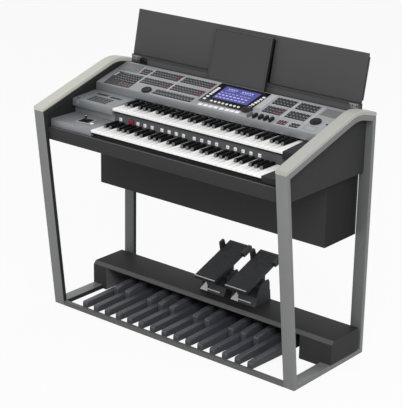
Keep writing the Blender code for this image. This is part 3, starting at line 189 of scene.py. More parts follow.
Value = Union[Expr, bpy.types.NodeSocket, float, Sequence[float]]


class Nodes:
    """The nodes of a material or of the surroundings."""

    def __init__(self, tree: bpy.types.NodeTree) -> None:
        """Keeps the tree."""
        self.tree = tree

    def node(self, kind: str, settings: Optional[dict] = None,
             inputs: Optional[dict] = None) -> bpy.types.Node:
        """Adds a node.

        Args:
            kind: the node's type.
            settings: its settings by name; "stops" are a ramp's (place, colour) pairs.
            inputs: values or links of its sockets, by name or number.

        Returns:
            The node.
        """
        made = self.tree.nodes.new(kind)
        for setting, value in (settings or {}).items():
            if setting == "stops":
                stops = made.color_ramp.elements
                for stop, (at, colour) in zip((stops[0], stops[1]), value):
                    stop.position = at
                    stop.color = (*colour, 1.0)
            else:
                setattr(made, setting, value)
        for key, value in (inputs or {}).items():
            self.feed(made.inputs[key], value)
        return made

    def feed(self, socket: bpy.types.NodeSocket, value: Value) -> None:
        """Links a socket, or sets its value."""
        if isinstance(value, Expr):
            self.tree.links.new(value.socket, socket)
        elif isinstance(value, bpy.types.NodeSocket):
            self.tree.links.new(value, socket)
        else:
            socket.default_value = value


class Shader(Nodes):
    """A material in the making."""

    def __init__(self, name: str) -> None:
        """Starts a material with one Principled shader."""
        self.material = bpy.data.materials.new(name)
        self.material.use_nodes = True
        super().__init__(self.material.node_tree)
        self.surface = self.tree.nodes["Principled BSDF"]
        self.coordinates = self.node("ShaderNodeTexCoord").outputs["Object"]

    def turned_by(self, turn: Triple, stretch: Triple = (1.0, 1.0, 1.0)) -> bpy.types.NodeSocket:
        """Object coordinates turned by angles and scaled."""
        node = self.node("ShaderNodeMapping", {"vector_type": "POINT"},
                         {"Vector": self.coordinates, "Rotation": turn, "Scale": stretch})
        return node.outputs[0]

    def axes(self, turn: Triple = (0.0, 0.0, 0.0)) -> tuple[Expr, Expr, Expr]:
        """The three Object coordinates, after a turn, each as an expression."""
        parts = self.node("ShaderNodeSeparateXYZ", {}, {0: self.turned_by(turn)}).outputs
        return Expr(self, parts[0]), Expr(self, parts[1]), Expr(self, parts[2])

    def noise(self, size: float, detail: float = 2.0, stretch: Triple = (1.0, 1.0, 1.0)) -> Expr:
        """A noise between 0 and 1.

        Args:
            size: size of its largest cells, in metres.
            detail: how many finer layers it has.
            stretch: scale along each axis, less than 1 for long cells.

        Returns:
            The noise.
        """
        where = self.turned_by((0.0, 0.0, 0.0), stretch)
        made = self.node("ShaderNodeTexNoise", {},
                         {"Vector": where, "Scale": 1.0 / size, "Detail": detail})
        return Expr(self, made.outputs[0])

    def mix(self, factor: Value, first: Value, second: Value) -> bpy.types.NodeSocket:
        """Mixes two colours; plain colours have three parts."""
        sides = [(*side, 1.0) if isinstance(side, tuple) else side for side in (first, second)]
        made = self.node("ShaderNodeMix", {"data_type": "RGBA"},
                         {0: factor, 6: sides[0], 7: sides[1]})
        return made.outputs[2]

    def bump(self, height: Value, depth: float, strength: float = 1.0) -> bpy.types.NodeSocket:
        """A normal that follows a height between 0 and 1, depth metres high."""
        made = self.node("ShaderNodeBump", {},
                         {"Strength": strength, "Distance": depth, "Height": height})
        return made.outputs[0]

    def dress(self, **sockets: Value) -> bpy.types.Material:
        """Sets the Principled shader's sockets, named with underscores for spaces."""
        for name, value in sockets.items():
            wanted = name.replace("_", " ").lower()
            socket = next(s for s in self.surface.inputs if s.name.lower() == wanted)
            if isinstance(value, tuple) and len(value) == 3 and socket.type == "RGBA":
                value = (*value, 1.0)
            self.feed(socket, value)
        return self.material


def shade(colour: Colour, factor: float) -> Colour:
    """A colour made lighter or darker."""
    return tuple(min(1.0, part * factor) for part in colour)


# Finishes

@dataclass(frozen=True)
class Coat:
    """Paint, laminate or moulded plastic: a fine grain and broad unevenness."""

    name: str
    colour: Colour
    roughness: float
    metallic: float = 0.0
    specular: float = 0.3
    grain: float = 0.0012
    depth: float = 0.00004
    mottle: float = 0.08
    stretch: Triple = (1.0, 1.0, 1.0)
    coat: float = 0.0

    def make(self) -> bpy.types.Material:
        """Builds the material."""
        shader = Shader(self.name)
        fine = shader.noise(self.grain, 3.0, self.stretch)
        broad = shader.noise(0.14, 2.0)
        tone = fine * 0.4 + broad * 0.6
        colour = shader.mix(tone, shade(self.colour, 1 - self.mottle),
                            shade(self.colour, 1 + self.mottle))
        rough = (fine + broad - 1.0) * 0.10 + self.roughness
        return shader.dress(Base_Color=colour, Roughness=rough, Metallic=self.metallic,
                            Specular_IOR_Level=self.specular, Coat_Weight=self.coat,
                            Coat_Roughness=0.08, Normal=shader.bump(fine, self.depth))


@dataclass(frozen=True)
class Perforated:
    """Sheet with rows of small round holes, seen on a face that is turned by an angle."""

    name: str
    colour: Colour
    hole_colour: Colour
    pitch: float
    radius: float
    turn: float = 0.0
    roughness: float = 0.5
    metallic: float = 0.2

    def make(self) -> bpy.types.Material:
        """Builds the material, with every other row moved by half a pitch."""
        shader = Shader(self.name)
        across, along, _ = shader.axes((-self.turn, 0.0, 0.0))
        row = self.pitch * 0.866
        moved = ((along / (2 * row)) % 1.0 > 0.5) * (self.pitch / 2)
        left = (across + moved) % self.pitch - self.pitch / 2
        rise = along % row - row / 2
        away = (left * left + rise * rise) ** 0.5
        hole = away < self.radius
        colour = shader.mix(hole, self.colour, self.hole_colour)
        edge = (away / self.radius).least(1.0)
        return shader.dress(Base_Color=colour, Roughness=self.roughness, Metallic=self.metallic,
                            Specular_IOR_Level=0.3, Normal=shader.bump(edge, 0.0004))


@dataclass(frozen=True)
class Lit:
    """A lit screen behind glass, with fine lines of picture points."""

    name: str
    colour: Colour
    glow: float
    pitch: float = 0.0012
    turn: float = 0.0

    def make(self) -> bpy.types.Material:
        """Builds the material."""
        shader = Shader(self.name)
        across, along, _ = shader.axes((-self.turn, 0.0, 0.0))
        thin = self.pitch * 0.15
        lines = (across % self.pitch < thin) + (along % self.pitch < thin)
        cloud = shader.noise(0.06, 1.0)
        tone = (lines.least(1.0) * 0.25 + cloud * 0.5).least(1.0)
        colour = shader.mix(tone, self.colour, shade(self.colour, 0.72))
        return shader.dress(Base_Color=shade(self.colour, 0.4), Roughness=0.25,
                            Specular_IOR_Level=0.3, Emission_Color=colour,
                            Emission_Strength=self.glow)


Finish = Union[Coat, Perforated, Lit]

PANEL_SLOPE = math.radians(15.0)

TUBE_PAINT = Coat("tube paint", (0.212, 0.218, 0.214), 0.45, 0.25, 0.4)
CAP_PAINT = Coat("cap rail paint", (0.60, 0.60, 0.53), 0.5, 0.0, 0.3, 0.0009, 0.00005, 0.05)
# Painted shade: the cream rail paint darkened for the right rail, which looks darker in its light.
CAP_PAINTED_SHADE = Coat("right cap rail painted shade", (0.43, 0.435, 0.40), 0.5, 0.0, 0.3, 0.0009, 0.00005,
                 0.05)
# Painted shade: the tube paint darkened on the faces turned towards the other frame.
TUBE_PAINTED_SHADE = Coat("tube inner face painted shade", (0.026, 0.027, 0.027), 0.5, 0.1, 0.15)
# Painted shadow: the tube paint darkened on the rear tube's front, where the rail's shadow falls.
REAR_TUBE_PAINTED_SHADOW = Coat("rear tube front face painted shadow", (0.150, 0.160, 0.157), 0.5, 0.2, 0.25)
FOOT_PAINT = Coat("foot bar paint", (0.125, 0.130, 0.125), 0.5, 0.2, 0.3)
BLACK_BOARD = Coat("black laminate", (0.036, 0.036, 0.037), 0.6, 0.0, 0.15, 0.0016, 0.00008, 0.16)
# Painted highlight: a light line standing for the fascia's top edge catching the light.
FASCIA_HIGHLIGHT = Coat("fascia edge painted highlight", (0.20, 0.20, 0.21), 0.45, 0.2, 0.3)
LIGHT_CHAMFER = Coat("pedal box chamfer grey", (0.088, 0.088, 0.088), 0.5, 0.0, 0.2)
# Painted shade: the black laminate darkened on the left side panel, the cabinet's right end and the
# pedal box's top.
BOARD_PAINTED_SHADE = Coat("laminate painted shade", (0.0185, 0.0185, 0.0190), 0.6, 0.0, 0.12, 0.0016, 0.00008,
                 0.16)
SWELL_CASTING = Coat("swell base casting", (0.042, 0.043, 0.047), 0.55, 0.0, 0.2)
BRACKET_STEEL = Coat("bracket steel", (0.36, 0.36, 0.365), 0.45, 0.4, 0.3)
# Painted light: a lighter grey on the box's inside faces, where the lamps' light doesn't reach.
BOX_PAINTED_LIGHT = Coat("box inside painted light", (0.14, 0.14, 0.14), 0.6, 0.0, 0.2)
# Dark plastic; on the music rest's sides it is painted shade.
DARK_PLASTIC_AND_SHADE = Coat("end block plastic and painted shade", (0.017, 0.017, 0.018), 0.55, 0.0, 0.22)
SILVER_PAINT = Coat("silver panel paint", (0.27, 0.285, 0.30), 0.42, 0.35, 0.4, 0.0007, 0.00002, 0.05)
# A lighter copy of the silver paint: painted light on the panel's sloping top; it also colours the
# headphone socket.
SILVER_AND_PAINTED_LIGHT = Coat("light silver paint and painted light", (0.34, 0.355, 0.37), 0.42, 0.3, 0.4, 0.0007, 0.00002, 0.05)
# Light silver trim; on the joystick's tip it is a painted highlight.
TRIM_SILVER_AND_HIGHLIGHT = Coat("light silver trim and painted highlight", (0.58, 0.59, 0.61), 0.38, 0.2, 0.4)
STRIP_PLASTIC = Coat("preset strip plastic", (0.098, 0.100, 0.104), 0.5, 0.0, 0.3)
FIELD_PLASTIC = Coat("switch field plastic", (0.078, 0.080, 0.086), 0.55, 0.0, 0.3)
DARK_FIELD = Coat("dark switch field plastic", (0.046, 0.048, 0.053), 0.55, 0.0, 0.3)
WINE_PLATE = Coat("wine red field plastic", (0.066, 0.032, 0.040), 0.5, 0.0, 0.3)
SWITCH_RUBBER = Coat("switch rubber", (0.017, 0.018, 0.020), 0.55, 0.0, 0.3, 0.0006, 0.00002)
GREY_RUBBER = Coat("grey rubber", (0.13, 0.135, 0.14), 0.55, 0.0, 0.3, 0.0006, 0.00002)
MARK_INK = Coat("light ink", (0.60, 0.61, 0.63), 0.6, 0.0, 0.2)
RED_LAMP = Coat("red lamp plastic", (0.115, 0.034, 0.050), 0.35, 0.0, 0.4)
RED_BUTTON = Coat("red button plastic", (0.27, 0.020, 0.040), 0.35, 0.0, 0.3)
WHITE_PLASTIC = Coat("white button plastic", (0.93, 0.93, 0.93), 0.4, 0.0, 0.4, 0.0008, 0.00001, 0.03)
GREY_INSERT = Coat("grey button insert", (0.36, 0.36, 0.37), 0.5)
IVORY = Coat("natural key plastic", (0.965, 0.965, 0.95), 0.22, 0.0, 0.45, 0.0006, 0.000006, 0.02,
             (1.0, 0.2, 1.0), 0.25)
# Black of the sharps; the same black makes the painted shadow behind the music rest.
EBONY = Coat("sharp key plastic and painted shadow", (0.004, 0.004, 0.0045), 0.45, 0.0, 0.06, 0.0007, 0.00001, 0.2,
             (1.0, 0.2, 1.0))
# Painted light: a pale sheet under the naturals that lightens the shade in the gaps between them.
GAP_PAINTED_LIGHT = Coat("key gap painted light", (0.60, 0.60, 0.58), 0.5, 0.0, 0.2)
# Painted reflection: light grey on the sharps' front slopes, where they mirror the bright
# surroundings.
EBONY_FRONT_REFLECTION = Coat("sharp key front painted reflection", (0.115, 0.117, 0.123), 0.3, 0.0, 0.3, 0.0007, 0.00001, 0.1)
KNOB_PLASTIC = Coat("knob plastic", (0.009, 0.009, 0.010), 0.42, 0.0, 0.25)
GLASS_BLACK = Coat("display glass", (0.006, 0.006, 0.007), 0.12, 0.0, 0.5, 0.02, 0.000004, 0.1)
PEDAL_WOOD = Coat("pedal lacquer", (0.070, 0.073, 0.085), 0.38, 0.0, 0.34, 0.0014, 0.00003, 0.18,
                  (1.0, 0.08, 1.0))
TREAD_RUBBER = Coat("tread rubber", (0.037, 0.038, 0.042), 0.7, 0.0, 0.25, 0.0008, 0.00005, 0.15)
TREADLE_METAL = Coat("treadle casting", (0.030, 0.032, 0.037), 0.5, 0.1, 0.3)
LID_UPPER = Coat("lid board", (0.055, 0.055, 0.056), 0.55, 0.0, 0.25, 0.0016, 0.00008, 0.12)
# On the lid's lower band this is a painted reflection of the control panel below; it also colours the
# back strip under the lid and the hinge's middle.
LID_LOWER = Coat("lid lower band", (0.058, 0.058, 0.059), 0.55, 0.0, 0.25, 0.0016, 0.00008, 0.12)
REST_BOARD = Coat("music rest board", (0.055, 0.055, 0.056), 0.6, 0.0, 0.22, 0.0016, 0.00008, 0.12)
STEEL_PLATE = Coat("brushed steel", (0.42, 0.43, 0.43), 0.32, 0.9, 0.5, 0.0006, 0.00001, 0.12,
                   (0.1, 1.0, 1.0))
SCREW_STEEL = Coat("dark screw steel", (0.06, 0.06, 0.062), 0.4, 0.7, 0.4)
GRILLE_SHEET = Perforated("panel grille", (0.27, 0.28, 0.29), (0.03, 0.03, 0.03), 0.0032,
                          0.0009, PANEL_SLOPE)
SPEAKER_MESH = Perforated("speaker grille", (0.03, 0.03, 0.03), (0.004, 0.004, 0.004), 0.0045,
                          0.0016)
SCREEN_LIGHT = Lit("screen light", (0.083, 0.085, 0.30), 0.90, 0.0012, PANEL_SLOPE)
SCREEN_MARK = Lit("screen marks", (0.50, 0.50, 0.86), 0.95)
BOARD_LACQUER = Coat("circuit board lacquer", (0.02, 0.10, 0.05), 0.4, 0.0, 0.4, 0.003, 0.0001,
                     0.3)


# Mesh making

def soften(bm: Mesh, rims: Sequence[Edge], width: float, segments: int,
           clamped: bool = False) -> None:
    """Rounds some edges of a mesh."""
    bmesh.ops.bevel(bm, geom=rims, offset=width, segments=segments, profile=0.5,
                    affect="EDGES", clamp_overlap=clamped, material=-1)


def cut(bm: Mesh, point: Triple, normal: Triple) -> None:
    """Divides the faces of a mesh along a plane and keeps both sides."""
    bmesh.ops.bisect_plane(bm, geom=bm.verts[:] + bm.edges[:] + bm.faces[:], dist=SAME_PLACE,
                           plane_co=point, plane_no=normal)


def paint(bm: Mesh, number: int, wanted: Callable[[Face], bool]) -> None:
    """Gives the wanted faces another one of the piece's materials."""
    for face in bm.faces:
        if wanted(face):
            face.material_index = number


def drawn_out(outline: Sequence[Triple], way: Triple) -> tuple[Mesh, list[Vert]]:
    """A flat outline drawn out into a solid, and the corners of its far side."""
    bm = bmesh.new()
    face = bm.faces.new([bm.verts.new(corner) for corner in outline])
    grown = bmesh.ops.extrude_face_region(bm, geom=[face])["geom"]
    far = [item for item in grown if isinstance(item, Vert)]
    bmesh.ops.translate(bm, vec=way, verts=far)
    bmesh.ops.recalc_face_normals(bm, faces=bm.faces)
    return bm, far


def soft_block(width: float, depth: float, height: float, edge: float, segments: int = 1) -> Mesh:
    """A block that stands on the XY plane, centred, with its upper edges rounded.

    Args:
        width: size along X.
        depth: size along Y.
        height: size along Z.
        edge: radius of the rounding.
        segments: faces across the rounding.

    Returns:
        The block.
    """
    bm = bmesh.new()
    bmesh.ops.create_cube(bm, size=1.0)
    bmesh.ops.scale(bm, vec=(width, depth, height), verts=bm.verts)
    bmesh.ops.translate(bm, vec=(0, 0, height / 2), verts=bm.verts)
    rims = [e for e in bm.edges if max(v.co.z for v in e.verts) > height / 2]
    soften(bm, rims, edge, segments)
    return bm


def turned(profile: Sequence[Spot], steps: int) -> Mesh:
    """A turned solid about Z.

    Args:
        profile: (radius, height) points, from the axis to the axis or a closed ring.
        steps: faces round the axis.

    Returns:
        The solid.
    """
    bm = bmesh.new()
    rim = [bm.verts.new((radius, 0, height)) for radius, height in profile]
    edges = [bm.edges.new(pair) for pair in zip(rim, rim[1:])]
    bmesh.ops.spin(bm, geom=rim + edges, cent=(0, 0, 0), axis=(0, 0, 1), angle=math.tau,
                   steps=steps, use_merge=True)
    bmesh.ops.remove_doubles(bm, verts=bm.verts, dist=0.000001)
    bmesh.ops.recalc_face_normals(bm, faces=bm.faces)
    return bm


def outline_plate(corners: Sequence[Spot], low: float, high: float, edge: float = 0.0) -> Mesh:
    """A plate with an outline of (x, y) points, from low to high, its top edge rounded."""
    bm, top = drawn_out([(x, y, low) for x, y in corners], (0, 0, high - low))
    if edge > 0:
        chosen = set(top)
        soften(bm, [e for e in bm.edges if all(v in chosen for v in e.verts)], edge, 2)
    return bm


def side_outline(points: Sequence[Spot], left: float, right: float, edge: float,
                 segments: int, rounded: Callable[[Edge], bool]) -> Mesh:
    """A solid with a side view, given a width and rounded where wanted.

    Args:
        points: (y, z) points of the side view.
        left: where it starts along X.
        right: where it ends along X.
        edge: radius of the rounding.
        segments: faces across the rounding.
        rounded: says which edges of the two side views are rounded.

    Returns:
        The solid.
    """
    bm, _ = drawn_out([(left, y, z) for y, z in points], (right - left, 0, 0))
    rims = [e for e in bm.edges if abs(e.verts[0].co.x - e.verts[1].co.x) < 1e-6 and rounded(e)]
    soften(bm, rims, edge, segments, True)
    return bm


class Stamp:
    """A small shape that is set down many times in a bigger mesh."""

    def __init__(self, shape: Mesh) -> None:
        """Keeps the shape."""
        self.mesh = bpy.data.meshes.new("stamp")
        shape.to_mesh(self.mesh)
        shape.free()

    def press(self, bm: Mesh, places: Iterable[Matrix]) -> None:
        """Adds a copy of the shape at each place."""
        for place in places:
            before = len(bm.verts)
            bm.from_mesh(self.mesh)
            bm.verts.ensure_lookup_table()
            bmesh.ops.transform(bm, matrix=place, verts=bm.verts[before:])


def stamped(shape: Mesh, places: Iterable[Matrix]) -> Mesh:
    """A mesh of one shape set down at every place."""
    bm = bmesh.new()
    Stamp(shape).press(bm, places)
    return bm


def joined(shapes: Sequence[Mesh]) -> Mesh:
    """One mesh of several shapes."""
    bm = bmesh.new()
    for shape in shapes:
        Stamp(shape).press(bm, [Matrix.Identity(4)])
    return bm


def moved(bm: Mesh, place: Matrix) -> Mesh:
    """The same mesh, transformed."""
    bmesh.ops.transform(bm, matrix=place, verts=bm.verts)
    return bm


@dataclass(frozen=True)
class Row:
    """A row of like pieces: where it starts, the step to the next one and their number."""

    first: Spot
    step: Spot
    count: int

    def spots(self) -> list[Spot]:
        """Where each of them is."""
        (x, y), (across, along) = self.first, self.step
        return [(x + across * index, y + along * index) for index in range(self.count)]


class Bench:
    """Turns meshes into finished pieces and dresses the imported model's nodes."""

    def __init__(self) -> None:
        """Finds where the stand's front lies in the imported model."""
        self.nodes = frame["nodes"]
        self.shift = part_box("left_side_frame")[1].y - STAND_DEPTH
        self.finished: dict[str, bpy.types.Material] = {}
        self.dressed: set[str] = set()

    def material(self, finish: Finish) -> bpy.types.Material:
        """The finish's material, made once."""
        if finish.name not in self.finished:
            self.finished[finish.name] = finish.make()
        return self.finished[finish.name]

    def piece(self, name: str, bm: Mesh, finish: Finish, body: str,
              replaces: Sequence[str] = (), packed: bool = False,
              more: Sequence[Finish] = ()) -> bpy.types.Object:
        """Makes a piece that rides on a body.

        Args:
            name: the piece's name.
            bm: its mesh, freed here.
            finish: its finish.
            body: the body that it moves with.
            replaces: CAD nodes that it stands for.
            packed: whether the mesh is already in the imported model's place.
            more: finishes of its other material numbers.

        Returns:
            The piece.
        """
        if not packed:
            bmesh.ops.translate(bm, vec=(0, self.shift, 0), verts=bm.verts)
            bmesh.ops.recalc_face_normals(bm, faces=bm.faces)
        mesh = bpy.data.meshes.new(name)
        bm.to_mesh(mesh)
        bm.free()
        mesh.shade_smooth()
        mesh.set_sharp_from_angle(angle=SMOOTH_ANGLE)
        for one in (finish, *more):
            mesh.materials.append(self.material(one))
        made = bpy.data.objects.new(name, mesh)
        bpy.context.scene.collection.objects.link(made)
        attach(made, body)
        if replaces:
            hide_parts(*replaces)
            self.dressed.update(replaces)
        LOG.info("%s rides on %s, %d faces", name, body, len(mesh.polygons))
        return made

    def copied(self, node: str) -> Mesh:
        """A merged copy of a node's mesh with its flat faces joined again."""
        bm = bmesh.new()
        bm.from_mesh(self.nodes[node].data)
        bmesh.ops.remove_doubles(bm, verts=bm.verts, dist=SAME_PLACE)
        bmesh.ops.dissolve_limit(bm, angle_limit=FLAT_ANGLE, use_dissolve_boundaries=False,
                                 verts=bm.verts, edges=bm.edges)
        return bm

    def rounded(self, node: str, width: float, segments: int = 2,
                wanted: Optional[Callable[[Edge], bool]] = None) -> Mesh:
        """A copy of a node with its outer edges rounded.

        Args:
            node: the CAD node.
            width: how far the rounding reaches from each edge.
            segments: faces across the rounding.
            wanted: says which convex edges are rounded; all of them if it isn't given.

        Returns:
            The mesh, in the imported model's place.
        """
        bm = self.copied(node)
        rims = []
        for edge in bm.edges:
            if not edge.is_manifold or edge.calc_face_angle_signed(0.0) < RIM_ANGLE:
                continue
            if wanted is None or wanted(edge):
                rims.append(edge)
        soften(bm, rims, width, segments, True)
        return bm

    def carry(self, finish: Finish, *names: str) -> None:
        """Gives CAD nodes a finish and leaves their shape as it is."""
        for name in names:
            mesh = self.nodes[name].data
            if not mesh.materials:
                mesh.materials.append(None)
            for index in range(len(mesh.materials)):
                mesh.materials[index] = self.material(finish)
            self.dressed.add(name)

    def body_of(self, node: str) -> str:
        """The body that a node rides on."""
        return self.nodes[node]["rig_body"]


def on_panel(across: float, along: float, lift: float = 0.0) -> Matrix:
    """Where a piece stands on the sloping control panel."""
    y = ControlPanel.front + along * math.cos(PANEL_SLOPE) - lift * math.sin(PANEL_SLOPE)
    z = ControlPanel.front_top + along * math.sin(PANEL_SLOPE) + lift * math.cos(PANEL_SLOPE)
    return Matrix.Translation((across, y, z)) @ Matrix.Rotation(PANEL_SLOPE, 4, "X")


def on_patch(patch: Patch, height: float, edge: float, more: Spot = (0.0, 0.0),
             lift: float = 0.0) -> Mesh:
    """A plate over a part of the control panel.

    Args:
        patch: its left, right, near and far ends.
        height: its thickness.
        edge: radius of its upper edges.
        more: how much wider and deeper than the patch it is.
        lift: how high over the panel it lies.

    Returns:
        The plate, in its place.
    """
    left, right, near, far = patch
    plate = soft_block(right - left + more[0], far - near + more[1], height, edge)
    return moved(plate, on_panel((left + right) / 2, (near + far) / 2, lift))


# The organ's sub-assemblies

@dataclass
class Stand:
    """Side frames of flat tube with cap rails, and the bar between the front feet."""

    half_inner: float = 0.58108
    tube_edge: float = 0.0016
    rear_tube: float = 0.385
    screw_out: float = 0.0210
    screw_ys: Spot = (0.30, 0.38)
    screw_zs: Spot = (0.795, 0.965)

    def build(self, bench: Bench) -> None:
        """Dresses the stand and adds the screws that hold its side panels."""
        self.tubes(bench)
        bench.carry(FOOT_PAINT, "front_foot_bar")
        bench.carry(CAP_PAINT, "left_top_rail")
        # the right rail takes the darkened copy of the cap paint: painted shade
        bench.carry(CAP_PAINTED_SHADE, "right_top_rail")
        # the left panel takes the darkened laminate: painted shade on its inner face
        bench.carry(BOARD_PAINTED_SHADE, "left_side_panel")
        bench.carry(BLACK_BOARD, "right_side_panel")
        profile = [(0, 0), (0.0042, 0), (0.0042, 0.0008), (0.0025, 0.0016), (0, 0.0018)]
        places = []
        for side in (-1, 1):
            turn = Matrix.Rotation(math.radians(90) * side, 4, "Y")
            for y in self.screw_ys:
                for z in self.screw_zs:
                    spot = (side * (self.half_inner + self.screw_out), y, z)
                    places.append(Matrix.Translation(spot) @ turn)
        bench.piece("side_panel_screws", stamped(turned(profile, 16), places), SCREW_STEEL,
                    ROOT)

    def tubes(self, bench: Bench) -> None:
        """Both loops of tube, with painted shade on the inner sides and a painted shadow on the rear
        tube's front.
        """
        rear = bench.shift + self.rear_tube
        for side, word in ((-1, "left"), (1, "right")):
            node = word + "_side_frame"
            bm = bench.rounded(node, self.tube_edge, 2)
            for face in bm.faces:
                middle = face.calc_center_median()
                # faces turned towards the other frame: painted shade
                if face.normal.x * side < -0.9:
                    face.material_index = 1
                # front faces of the rear tube: painted shadow
                elif middle.y > rear and face.normal.y < -0.7:
                    face.material_index = 2
            bench.piece(word + "_frame_tube", bm, TUBE_PAINT, ROOT, [node], True,
                        [TUBE_PAINTED_SHADE, REAR_TUBE_PAINTED_SHADOW])


@dataclass
class Console:
    """Fascia, key bed, cabinet with its speakers, and the back with its vents."""

    half_inner: float = 0.58108
    leg_run: float = 0.1036
    leg_height: float = 0.8924
    ledge: float = 0.8087
    rear: float = 0.440
    cabinet_bottom: float = 0.497
    speaker_x: float = 0.330
    speaker_y: float = 0.33510
    speaker_radius: float = 0.06985
    strip_low: float = 0.985
    fascia_edge: float = 0.0025
    highlight_short: float = 0.012
    highlight_section: Spot = (0.0032, 0.0009)
    highlight_inset: Spot = (0.0225, 0.0045)
    vent_size: Triple = (0.15, 0.0052, 0.0022)
    vent_xs: Triple = (-0.30, 0.0, 0.30)
    vents: Row = Row((0.0, 0.66), (0.0, 0.012), 9)
    screw_xs: tuple[float, ...] = (-0.555, -0.19, 0.19, 0.555)
    screw_zs: Triple = (0.52, 0.74, 0.975)
    plate_size: Triple = (0.190, 0.052, 0.0016)
    plate_at: Spot = (-0.385, 0.570)
    sockets: Row = Row((-0.460, 0.570), (0.025, 0.0), 7)
    inlet_x: float = 0.415
    pin_pitch: float = 0.007
    pin_depth: float = 0.0082
    pin_zs: Triple = (0.567, 0.571, 0.567)
    seat: float = 0.0002

    def leg_at(self, height: float, inset: float) -> float:
        """Depth of the front legs' line at a height, inset behind it."""
        length = math.hypot(self.leg_run, self.leg_height)
        return (inset * length - self.leg_run * height) / self.leg_height

    def build(self, bench: Bench) -> None:
        """Dresses the shell and adds a painted highlight along the fascia, grilles, vents and screws.
        """
        def lengthwise(edge: Edge) -> bool:
            """Whether an edge runs along the organ."""
            return abs(edge.verts[0].co.x - edge.verts[1].co.x) > 0.1

        bench.piece("fascia_board", bench.rounded("front_fascia", self.fascia_edge, 3, lengthwise),
                    BLACK_BOARD, ROOT, ["front_fascia"], True)
        bench.carry(BLACK_BOARD, "key_bed")
        bm = bench.copied("lower_cabinet")
        # the cabinet's right end takes the darkened laminate: painted shade
        paint(bm, 1, lambda face: face.normal.x > FACING)
        bench.piece("cabinet_board", bm, BLACK_BOARD, ROOT, ["lower_cabinet"], True,
                    [BOARD_PAINTED_SHADE])
        bm = bench.copied("rear_panel")
        paint(bm, 1, lambda face: face.normal.y < -FACING
              and face.calc_center_median().z > self.strip_low)
        bench.piece("rear_panel_board", bm, BLACK_BOARD, ROOT, ["rear_panel"], True,
                    [LID_LOWER])
        bench.carry(DARK_PLASTIC_AND_SHADE, "speaker_baffle")
        bench.carry(BOARD_LACQUER, "main_board")
        self.fascia_highlight(bench)
        self.grilles(bench)
        self.back(bench)

    def fascia_highlight(self, bench: Bench) -> None:
        """A light strip along the fascia's upper edge: a painted highlight where the edge catches the
        light.
        """
        inset, behind = self.highlight_inset
        y = self.leg_at(self.ledge, inset) + behind
        strip = soft_block(2 * self.half_inner - self.highlight_short, *self.highlight_section, 0.0004)
        bench.piece("fascia_highlight", moved(strip, Matrix.Translation((0, y, self.ledge))), FASCIA_HIGHLIGHT,
                    ROOT)

    def grilles(self, bench: Bench) -> None:
        """Round grilles set in the speaker holes under the cabinet."""
        r = self.speaker_radius - 0.0008
        profile = [(0, 0.0050), (r - 0.006, 0.0030), (r - 0.004, 0.0008), (r, 0.0008)]
        profile += [(r, 0.0060), (r - 0.004, 0.0060), (r - 0.005, 0.0050), (0, 0.0070)]
        places = [Matrix.Translation((x, self.speaker_y, self.cabinet_bottom))
                  for x in (-self.speaker_x, self.speaker_x)]
        bench.piece("speaker_grilles", stamped(turned(profile, 40), places), SPEAKER_MESH,
                    ROOT)

    def back(self, bench: Bench) -> None:
        """Vent louvres, screws, the connector plate and the mains inlet at the back."""
        def on_back(x: float, z: float, lift: float = -self.seat) -> Matrix:
            """Where a piece stands on the rear board."""
            return Matrix.Translation((x, self.rear + lift, z)) @ BACKWARD

        bars = [on_back(x, z) for x in self.vent_xs for _, z in self.vents.spots()]
        bench.piece("vent_louvres", stamped(soft_block(*self.vent_size, 0.0018, 2), bars),
                    DARK_PLASTIC_AND_SHADE, ROOT)
        heads = [on_back(x, z) for x in self.screw_xs for z in self.screw_zs]
        profile = [(0, 0), (0.0045, 0), (0.0045, 0.0009), (0.0028, 0.0019), (0, 0.0021)]
        bench.piece("back_screws", stamped(turned(profile, 16), heads), SCREW_STEEL, ROOT)
        plate = moved(soft_block(*self.plate_size, 0.0008), on_back(*self.plate_at))
        bench.piece("connector_plate", plate, SILVER_PAINT, ROOT)
        ring = [(0.0032, 0.0), (0.0062, 0.0), (0.0062, 0.0030), (0.0055, 0.0036),
                (0.0032, 0.0036), (0.0032, 0.0)]
        places = [on_back(x, z, 0.0012) for x, z in self.sockets.spots()]
        bench.piece("connector_sockets", stamped(turned(ring, 18), places), SCREW_STEEL, ROOT)
        pins = [on_back(self.inlet_x + self.pin_pitch * (index - 1), z, -self.pin_depth)
                for index, z in enumerate(self.pin_zs)]
        bench.piece("inlet_pins", stamped(soft_block(0.0022, 0.0045, 0.0062, 0.0005), pins),
                    STEEL_PLATE, ROOT)


